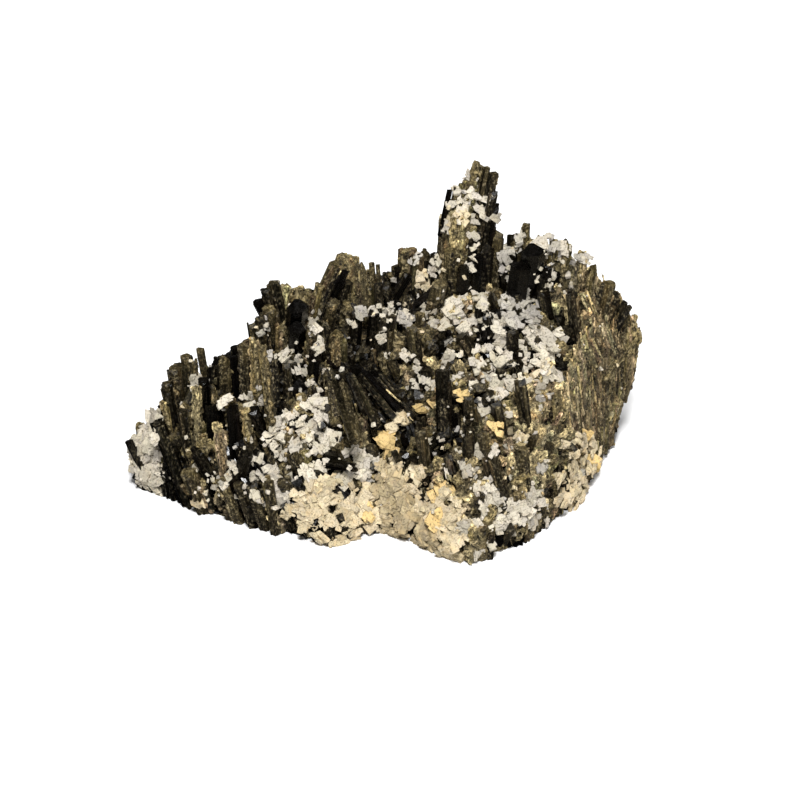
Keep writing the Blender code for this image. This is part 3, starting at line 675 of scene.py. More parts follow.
def addBundle(pair, foot, tip, width, tone, splinters):
    # a stout prism with thinner ones grown along it, each ending at a height of its own
    axis = (tip - foot).normalized()
    length = (tip - foot).length
    spin = rng.uniform(-0.6, 0.6)
    turned = turnTo(axis, spin)
    tone = clamp(tone)
    broad = width >= 3.6 and tone <= 0.15
    addPrism(pair, foot, tip, width * 0.92, width * rng.uniform(0.75, 0.95), spin,
             darkTint(tone, 0.05 if broad else clamp(tone * 1.15)), broadShapes if broad else stoutShapes)
    for k in range(0 if broad else splinters):
        angle = math.tau * (k + rng.uniform(-0.3, 0.3)) / splinters
        side = turned @ Vector((0.36 * width * math.cos(angle), 0.3 * width * math.sin(angle), 0.0))
        drop = axis * min(length * 0.8, max(-0.3, rng.expovariate(0.6) - 0.4))
        slim = width * rng.uniform(0.32, 0.6)
        addPrism(pair, foot + side, tip + side - drop, slim, slim * rng.uniform(0.6, 1.0),
                 spin + rng.uniform(-0.3, 0.3), toneTint(tone + rng.uniform(-0.2, 0.2)))


# The prisms that are told one by one: foot (across, up), tip (across, up), width and tone
# from 0, black and glossy, to 1, pale and granular. Then, where they aren't upright, how far
# they come to the eye for each millimetre seen, and where the foot isn't sunk, how far up it is

upright = math.tan(view["elevation"])
landmarks = {
    "spire_prisms": (
        (11.6, 36.8, 16.5, 57.2, 2.7, 0.62), (14.4, 36.5, 19.1, 55.4, 2.2, 0.35),
        (13.4, 36.4, 18.1, 54.4, 2.2, 0.5, 0.45), (10.0, 36.2, 14.3, 54.0, 2.4, 0.45),
        (9.2, 36.0, 12.7, 52.8, 2.0, 0.55), (7.6, 35.2, 11.3, 52.4, 1.4, 0.02, upright, 0.55),
        (9.8, 35.6, 10.3, 47.6, 2.2, 0.4), (12.0, 36.0, 12.8, 48.6, 4.4, 0.72, 0.6),
        (13.2, 35.6, 15.0, 46.5, 2.6, 0.62, 0.62), (15.0, 35.4, 15.7, 45.0, 2.4, 0.02, 0.6),
        (15.4, 35.2, 19.0, 52.4, 2.2, 0.2, 0.5), (16.6, 35.2, 19.3, 49.6, 1.9, 0.05, 0.5),
        (15.0, 36.0, 17.4, 51.4, 2.2, 0.4, 0.42), (18.8, 35.4, 19.6, 45.4, 3.0, 0.45, 0.52),
        (17.4, 34.8, 18.0, 43.0, 2.6, 0.25, 0.62), (11.2, 34.2, 11.6, 42.0, 3.2, 0.5, 0.75),
        (13.4, 34.0, 13.7, 39.0, 2.4, 0.1, 0.8), (16.0, 34.6, 16.4, 41.0, 2.2, 0.0, 0.7),
        (13.8, 36.4, 17.8, 56.4, 1.7, 0.4),
    ),
    "ridge_prisms": (
        (25.0, 35.2, 26.1, 42.0, 4.8, 0.0, 1.1), (22.8, 33.0, 23.8, 39.2, 4.4, 0.0, 0.9),
        (27.2, 34.6, 27.9, 38.6, 3.0, 0.05, 1.0), (38.0, 31.0, 39.4, 36.4, 3.4, 0.5, 0.3),
        (42.6, 20.0, 43.6, 30.5, 2.2, 0.75), (43.2, 21.0, 44.7, 28.4, 1.8, 0.7),
        (41.4, 21.0, 42.3, 31.2, 2.2, 0.65), (42.0, 17.5, 43.0, 26.0, 1.8, 0.8),
        (43.6, 18.5, 44.9, 26.8, 1.8, 0.7), (22.6, 37.5, 23.0, 44.4, 3.4, 0.35),
        (24.2, 38.0, 24.6, 46.6, 1.9, 0.4), (24.7, 38.0, 25.3, 44.6, 2.8, 0.6),
        (28.6, 38.0, 29.6, 43.9, 2.2, 0.6), (33.3, 34.5, 34.6, 41.5, 3.0, 0.75),
        (26.6, 36.5, 27.2, 44.4, 2.2, 0.5), (31.0, 36.5, 31.7, 43.3, 2.4, 0.6),
        (38.6, 30.6, 40.4, 34.8, 3.2, 0.3, 0.4), (40.4, 29.0, 42.6, 32.3, 2.4, 0.3, 0.3),
        (2.4, 34.0, 2.5, 39.4, 1.8, 0.1), (3.5, 34.2, 3.8, 42.0, 3.2, 0.62),
        (6.6, 35.0, 6.8, 41.6, 2.6, 0.35), (8.6, 35.4, 8.8, 41.2, 2.4, 0.15),
        (5.2, 34.6, 5.3, 40.6, 2.8, 0.45), (0.9, 32.4, 4.0, 37.6, 2.2, 0.03, 0.5),
        (8.2, 31.2, 9.6, 36.1, 3.2, 0.45, 1.2), (21.6, 34.5, 21.8, 41.5, 2.4, 0.1, 0.6),
        (35.6, 34.0, 36.6, 39.5, 2.4, 0.7), (27.5, 38.0, 27.4, 43.5, 1.8, 0.35),
    ),
    "peak_prisms": (
        (-9.8, 32.4, -7.7, 38.2, 0.6, 1.0, 1.25, 0.25), (-14.4, 27.5, -8.8, 39.8, 2.2, 0.45, 0.3),
        (-12.9, 27.2, -7.3, 41.4, 2.4, 0.6, 0.2), (-11.4, 28.0, -7.0, 38.2, 1.8, 0.0, 0.7),
        (-9.4, 28.0, -6.6, 40.6, 2.4, 0.75, 0.3), (-4.9, 29.5, -6.0, 40.9, 2.8, 0.75, 0.3),
        (-3.4, 29.5, -4.7, 39.9, 2.6, 0.65, 0.4), (-2.2, 29.6, -3.6, 38.2, 2.4, 0.55, 0.4),
        (-1.6, 31.0, -2.4, 39.7, 1.2, 0.5, 0.4), (-0.7, 30.4, -1.3, 39.4, 1.1, 0.4, 0.4),
        (-1.0, 29.4, -1.2, 36.4, 2.4, 0.3, 0.5), (-10.6, 27.6, -8.9, 32.8, 2.9, 0.42, 1.1),
        (-6.6, 27.4, -6.8, 32.6, 3.0, 0.65, 0.8), (-12.8, 28.4, -11.4, 36.0, 2.6, 0.55, 0.5),
        (-8.2, 29.0, -6.6, 36.4, 2.6, 0.25, 0.6), (-19.2, 27.1, -22.4, 33.2, 2.3, 0.04, 0.4),
        (-18.7, 28.0, -20.9, 35.2, 2.5, 0.2, 0.4), (-18.0, 28.9, -19.5, 36.5, 2.6, 0.35, 0.4),
        (-17.5, 30.0, -17.8, 35.9, 3.6, 0.85, 0.7), (-15.4, 30.4, -15.1, 35.6, 3.4, 0.8, 0.7),
        (-14.2, 29.5, -13.7, 34.6, 2.4, 0.6, 0.5), (-15.7, 27.8, -15.2, 32.2, 4.4, 0.0, 1.5),
        (-15.6, 24.8, -15.3, 28.4, 3.7, 0.0, 1.4), (-19.5, 26.4, -20.4, 31.8, 3.2, 0.45, 0.8),
        (-17.8, 24.0, -17.8, 28.6, 2.6, 0.6, 0.8), (-12.5, 29.0, -12.2, 33.4, 2.4, 0.25, 0.5),
        (-22.6, 24.0, -23.4, 29.2, 2.2, 0.4), (-21.0, 24.0, -21.9, 30.4, 2.6, 0.3, 0.6),
        (-5.2, 26.0, -4.8, 32.0, 2.4, 0.2, 0.7), (-2.5, 25.5, -1.8, 31.5, 2.2, 0.15, 0.7),
        (-12.6, 22.0, -12.9, 28.0, 2.6, 0.45, 0.8), (-8.4, 22.6, -8.6, 27.6, 2.8, 0.5, 0.8),
        (-10.4, 23.4, -11.0, 29.0, 2.4, 0.35, 0.8),
    ),
    "left_wing_prisms": (
        (-24.3, 16.1, -24.9, 25.7, 2.1, 0.45, 0.4), (-22.2, 14.0, -23.1, 26.4, 2.4, 0.8, 0.5),
        (-19.6, 8.8, -21.4, 25.5, 1.8, 0.6, 0.3), (-27.9, 15.8, -28.2, 23.4, 2.4, 0.45, 0.7),
        (-25.8, 16.6, -26.4, 23.4, 1.7, 0.0, 0.3), (-19.3, 12.3, -20.1, 24.3, 2.5, 0.2, 0.3),
        (-16.6, 15.8, -17.2, 22.2, 2.0, 0.35), (-34.1, 18.0, -35.0, 23.5, 2.5, 0.45),
        (-31.3, 18.5, -32.4, 24.7, 1.9, 0.4), (-30.0, 18.0, -30.1, 21.6, 2.0, 0.0, 0.3),
        (-35.9, 15.8, -36.8, 21.4, 3.2, 0.4), (-37.2, 11.8, -38.3, 18.8, 2.4, 0.35),
        (-37.6, 9.5, -38.7, 15.6, 2.0, 0.75), (-32.4, 8.8, -33.1, 18.4, 2.3, 0.8, 0.4),
        (-29.8, 14.0, -30.3, 18.2, 2.2, 0.55), (-35.0, -1.8, -39.9, 11.9, 3.0, 0.2, 0.3),
        (-32.4, -1.8, -34.1, 4.0, 2.9, 0.45, 0.5), (-28.5, 2.6, -29.4, 11.6, 2.8, 0.85, 0.5),
        (-30.3, 1.8, -33.1, 6.9, 2.6, 0.15, 0.5), (-26.3, -4.4, -28.9, 2.0, 2.4, 0.5, 0.5),
        (-23.6, -5.6, -25.7, 1.2, 2.4, 0.35, 0.5), (-21.5, -6.1, -23.3, 0.4, 2.4, 0.45, 0.5),
        (-19.3, -5.3, -20.5, 2.0, 2.4, 0.4, 0.5), (-42.6, 0.6, -44.9, 8.6, 1.9, 0.1, 0.3),
        (-26.0, 6.0, -26.6, 15.0, 2.2, 0.05, 0.3), (-24.0, 7.5, -24.4, 14.5, 1.8, 0.75, 0.6),
        (-36.5, 2.0, -38.0, 9.5, 2.0, 0.5, 0.4), (-34.4, 6.0, -35.6, 14.0, 2.2, 0.25, 0.4),
        (-31.4, 13.0, -31.8, 19.4, 3.0, 0.0, 0.5), (-29.6, 9.6, -29.6, 14.6, 3.4, 0.02, 0.6),
        (-36.0, 17.0, -36.2, 21.6, 4.0, 0.35, 0.7), (-33.0, 17.6, -33.4, 22.7, 1.8, 0.5),
        (-26.8, 11.6, -28.0, 16.6, 2.8, 0.7, 0.9), (-33.0, 4.0, -31.6, 8.8, 3.0, 0.75, 0.9),
        (-25.4, 2.4, -24.0, 7.6, 2.6, 0.15, 0.8), (-21.6, 10.0, -23.4, 14.0, 2.6, 0.05, 0.9),
        (-29.2, 18.6, -27.0, 21.2, 2.6, 0.7, 1.3), (-25.6, 11.4, -23.6, 14.4, 2.2, 0.6, 1.1),
        (-37.6, 4.4, -36.4, 8.6, 2.6, 0.3, 0.9),
    ),
    "front_prisms": (
        (-7.9, 18.4, -5.0, 8.4, 2.8, 0.42, 0.95), (-5.8, 20.0, -1.2, 11.0, 1.8, 0.3, 0.7),
        (-4.7, 20.7, 1.6, 12.6, 1.6, 0.3, 0.6), (-4.2, 21.0, 2.6, 13.8, 1.7, 0.0, 0.5),
        (-3.4, 21.2, 3.6, 14.6, 1.3, 0.4, 0.4), (-1.5, 20.9, 5.2, 12.6, 1.4, 0.12, 0.5),
        (-6.4, 20.6, -3.0, 13.0, 2.2, 0.2, 0.5), (-2.2, 19.6, 2.6, 15.4, 0.5, 1.0, 0.75),
        (1.2, 15.6, 4.8, 12.4, 0.5, 1.0, 0.75), (-9.8, 18.6, -8.6, 11.4, 2.4, 0.5, 0.6),
        (-11.0, 4.6, -5.4, 3.9, 2.3, 0.1, 0.6), (10.5, 10.2, 10.2, 21.0, 2.6, 0.15, 0.4),
        (15.2, 11.0, 14.5, 16.6, 2.9, 0.35, 0.6), (20.1, 11.0, 19.3, 15.4, 2.6, 0.25, 0.6),
        (24.5, 12.0, 23.6, 19.3, 2.6, 0.3, 0.5), (17.9, 3.5, 16.8, 10.2, 2.6, 0.4, 0.5),
        (20.3, 0.0, 18.4, 7.0, 2.4, 0.35, 0.5), (24.5, 0.8, 24.0, 7.2, 2.9, 0.45, 0.5),
        (28.0, -6.6, 28.2, 2.5, 2.6, 0.2, 0.4), (30.6, 9.5, 29.9, 16.6, 2.6, 0.6, 0.4),
        (7.0, 3.5, 6.1, 10.5, 2.6, 0.35, 0.5), (14.9, 5.5, 14.9, 11.4, 2.6, 0.25, 0.6),
        (33.3, 28.0, 32.7, 34.6, 2.6, 0.3, 0.4), (28.5, 30.0, 27.7, 34.8, 2.6, 0.25, 0.6),
        (-0.5, 24.0, 0.5, 30.0, 2.8, 0.3, 0.7), (5.5, 22.5, 4.5, 28.5, 2.6, 0.4, 0.7),
        (-12.5, 19.5, -12.0, 25.0, 2.4, 0.15, 0.7), (22.2, 24.0, 22.1, 28.0, 2.0, 0.2, 0.6),
        (3.5, 2.6, 1.4, 7.0, 1.6, 0.3, 0.5), (-3.0, 13.0, -1.6, 9.4, 1.2, 0.2, 0.9),
    ),
}


def makeLandmarks(tree):
    # the spire's own prisms stand on the ridge, the others on the mass where they are seen
    away = pictureAxes()[2]
    for name, rows in landmarks.items():
        pair = newPair()
        for across, up, tipAcross, tipUp, width, tone, *more in rows:
            toward = more[0] if more else upright
            foot = surfaceUnder(tree, across, up)[0]
            seen = math.hypot(tipAcross - across, tipUp - up)
            eye, direction = sightLine(tipAcross, tipUp)
            depth = (foot - eye).dot(away) - toward * seen
            tip = eye + direction * (depth / direction.dot(away))
            foot = foot.lerp(tip, more[1]) if len(more) > 1 else foot - (tip - foot).normalized() * 2.5
            addBundle(pair, foot, tip, width, tone, 5 if width > 2.2 else 3)
        finishPair(name, pair, 0.34, tree)


# Prisms that cover the rest of the mass

cover = {
    # lengths are in widths, sunk is how far a foot goes in, and stands gives the share of prisms
    # that stand from one height to another over the mass
    "prisms": {"spacing": 1.75, "width": (1.4, 3.2), "length": (1.6, 3.2), "sunk": 1.5,
               "stands": ((0.45, -0.9, 0.5), (0.4, 0.5, 2.0), (0.15, 2.0, 3.6))},
    "stubs": {"spacing": 2.3, "width": (1.5, 3.2), "length": (0.9, 1.5), "sunk": 0.3, "loose": 0.55,
              "stands": ((0.3, 0.0, 0.8), (0.7, 0.8, 2.4))},
    "splinters": {"spacing": 1.6, "width": (0.6, 1.3), "length": (1.6, 3.2), "sunk": 1.5,
                  "stands": ((0.6, -0.8, 0.4), (0.3, 0.4, 1.8), (0.1, 1.8, 3.2))},
    "rubble": {"spacing": 1.25, "size": (0.5, 1.6), "deep": (0.4, 1.3), "flankDeep": 1.2},
    "flank": {"spacing": 0.8, "width": (0.5, 1.2), "length": (4.0, 12.0), "loose": 0.025,
              "tone": 0.79, "drift": 0.3, "driftScale": 0.2, "palest": 0.88},
    # how far prisms stray from the way that they grow
    "orderly": 0.1,
    "skyline": (0.14, 0.28, 0.42),
    "middleSlope": (0.16, 0.3, 0.55),
    "rim": {"below": 5.0, "loose": 0.15},
    # where they stand lower
    "lowRidge": {"from": 24.0, "above": 30.0, "share": 0.45},
    "lowWing": {"to": -18.0, "share": 0.75},
    "weathering": {"back_cover": 0.62, "others": 0.42},
}


def spreadPoints(bm, spacing):
    # seeded points over the mass, none closer together than the spacing
    faces = [f for f in bm.faces if f.normal.z > -0.25]
    areas = [f.calc_area() for f in faces]
    wanted = int(sum(areas) / (0.5 * spacing * spacing))
    cells, points = {}, []      # cells holds the last point of each cube of space
    for face in rng.choices(faces, weights=areas, k=wanted):
        a, b, c = (v.co for v in face.verts)
        s, t = math.sqrt(rng.random()), rng.random()
        point = a * (1 - s) + b * (s * (1 - t)) + c * (s * t)
        key = tuple(int(math.floor(value / spacing)) for value in point)
        near = [cells.get((key[0] + i, key[1] + j, key[2] + k)) for i in (-1, 0, 1)
                for j in (-1, 0, 1) for k in (-1, 0, 1)]
        if any(other and (other - point).length < spacing for other in near):
            continue
        cells[key] = point
        points.append((point, face.normal.copy()))
    return points


coverTones = {
    "middle": 0.5, "drift": 0.9, "driftScale": 0.13, "driftFrom": Vector((7, 3, 1)),
    # least and most x, least and most z, and how much paler it is there
    "stretches": ((28.0, 99.0, -9.0, 34.0, 0.25), (-12.0, 8.0, 18.0, 99.0, -0.12),
                  (4.0, 30.0, 7.0, 20.0, 0.15), (4.0, 30.0, -9.0, 7.0, 0.3)),
    "steps": (-0.45, -0.3, -0.1, 0.05, 0.2, 0.32),
    "stray": (-0.06, 0.06),
}


def coverTone(point):
    # which stretches of the specimen are black and which are olive
    spot = point * coverTones["driftScale"] + coverTones["driftFrom"]
    tone = coverTones["middle"] + coverTones["drift"] * noise.noise(spot)
    for left, right, low, high, paler in coverTones["stretches"]:
        if left < point.x < right and low < point.z < high:
            tone += paler
    return tone + rng.choice(coverTones["steps"]) + rng.uniform(*coverTones["stray"])


def inside(spot, corners):
    count = 0
    for a, b in zip(corners, corners[1:] + corners[:1]):
        if (a[1] > spot[1]) != (b[1] > spot[1]):
            count += spot[0] < a[0] + (b[0] - a[0]) * (spot[1] - a[1]) / (b[1] - a[1])
    return count % 2 == 1


def buried(point):
    # the share of a crust that covers this place on the mass, or nothing
    side = "back" if point.y > ridgeAt(point.x) + 1.0 else "front"
    spot = seenAt(point, side)
    return max([fill for crust in crusts.values() if crust.get("side", "front") == side
                for tone, fill, outline in crust.get("outlines", ()) if inside(spot, outline)], default=0.0)


def areaOf(point, normal):
    if point.x > 31.0 and normal.x > 0.5:
        return "flank_cover"
    if point.y > ridgeAt(point.x) + 3.0:
        return "back_cover"
    if point.x < -14.0:
        return "left_wing_cover"
    return "middle_cover" if point.x < 11.0 else "right_cover"


def coverPrism(pair, point, normal, rule):
    # orderly on the left wing and along the skyline, thrown about on the middle slope
    loose = rule.get("loose", cover["orderly"])
    if "loose" not in rule and point.x > -20.0 and point.y < ridgeAt(point.x) - 3.0:
        loose = rng.choice(cover["middleSlope"])
    elif "loose" not in rule and point.y < ridgeAt(point.x):
        loose = rng.choice(cover["skyline"])
    if point.z < cover["rim"]["below"]:
        loose = min(loose, cover["rim"]["loose"])
    axis = growth(point) + randomVector() * loose
    axis.z = max(axis.z, 0.6)
    axis.normalize()
    facing = max(0.0, normal.dot(axis))
    wall = 1.0 - facing
    draw = rng.random()
    for share, low, high in rule["stands"]:
        if draw < share:
            break
        draw -= share
    stands = rng.uniform(low, high) * (0.3 + 0.7 * facing)
    if point.x > cover["lowRidge"]["from"] and point.z > cover["lowRidge"]["above"]:
        stands *= cover["lowRidge"]["share"]
    if point.x < cover["lowWing"]["to"] and stands > 0.0:
        stands *= cover["lowWing"]["share"]
    if rng.random() < buried(point) * 0.9:
        stands = min(stands, -0.4)
    width = rng.uniform(*rule["width"])
    length = width * rng.uniform(*rule["length"])
    tip = point + axis * (stands + 0.5 * length * wall) - normal * width * 0.25 * wall
    foot = tip - axis * (length + rule["sunk"])
    if foot.z < mass["still"]:
        foot = foot + axis * ((mass["still"] - foot.z) / max(0.2, axis.z))
    tone = coverTone(point)
    if (tip - foot).length < 0.6:
        return
    if width > 1.8:
        addBundle(pair, foot, tip, width, tone, rng.choice((2, 3, 4)))
    else:
        addPrism(pair, foot, tip, width, width * rng.uniform(0.7, 1.1), rng.uniform(0, math.tau),
                 toneTint(tone))


def addRubble(pair, point, normal, rule, deep):
    size = rng.uniform(*rule["size"])
    at = point - normal * (deep or rng.uniform(*rule["deep"]))
    tint = toneTint(coverTone(point) - 0.05)
    addShape(pair["crisp"], rng.choice(chunkShapes), Matrix.Translation(at) @ anyTurn(), (size,) * 3, tint)


def flankRib(pair, point, normal, rule):
    # the flank is split into long thin ribs that lie side by side
    axis = growth(point) + Vector((rng.gauss(0, 1), rng.gauss(0, 1), 0.0)) * rule["loose"]
    axis = (axis - normal * axis.dot(normal)).normalized()
    width = rng.uniform(*rule["width"])
    half = axis * rng.uniform(*rule["length"]) / 2
    deep = normal * (0.1 + width * rng.uniform(0.1, 0.6))
    turn = rng.uniform(0, math.tau)
    tone = rule["tone"] + rule["drift"] * noise.noise(point * rule["driftScale"]) + rng.uniform(-0.2, 0.2)
    addPrism(pair, point - half - deep, point + half - deep + normal * 0.25, width, width * 0.9,
             turn, toneTint(min(rule["palest"], tone)))


def makeCover(bmMass, tree):
    parts = {name: newPair() for name in ("left_wing_cover", "middle_cover", "right_cover",
                                          "flank_cover", "back_cover")}
    for kind in ("prisms", "stubs", "splinters", "rubble", "flank"):
        rule = cover[kind]
        for point, normal in spreadPoints(bmMass, rule["spacing"]):
            area = areaOf(point, normal)
            onFlank = area == "flank_cover"
            if kind == "rubble":
                addRubble(parts[area], point, normal, rule, rule["flankDeep"] if onFlank else None)
            elif kind == "flank" and onFlank:
                flankRib(parts[area], point, normal, rule)
            elif kind != "flank" and not onFlank:
                coverPrism(parts[area], point, normal, rule)
    for name, pair in parts.items():
        finishPair(name, pair, cover["weathering"].get(name, cover["weathering"]["others"]), tree)


# Feldspar crystals, for each of its solids: the outlines that small ones fill, as tone, share and
# corners, and single ones as (across, up, size, tone), white where no tone is told

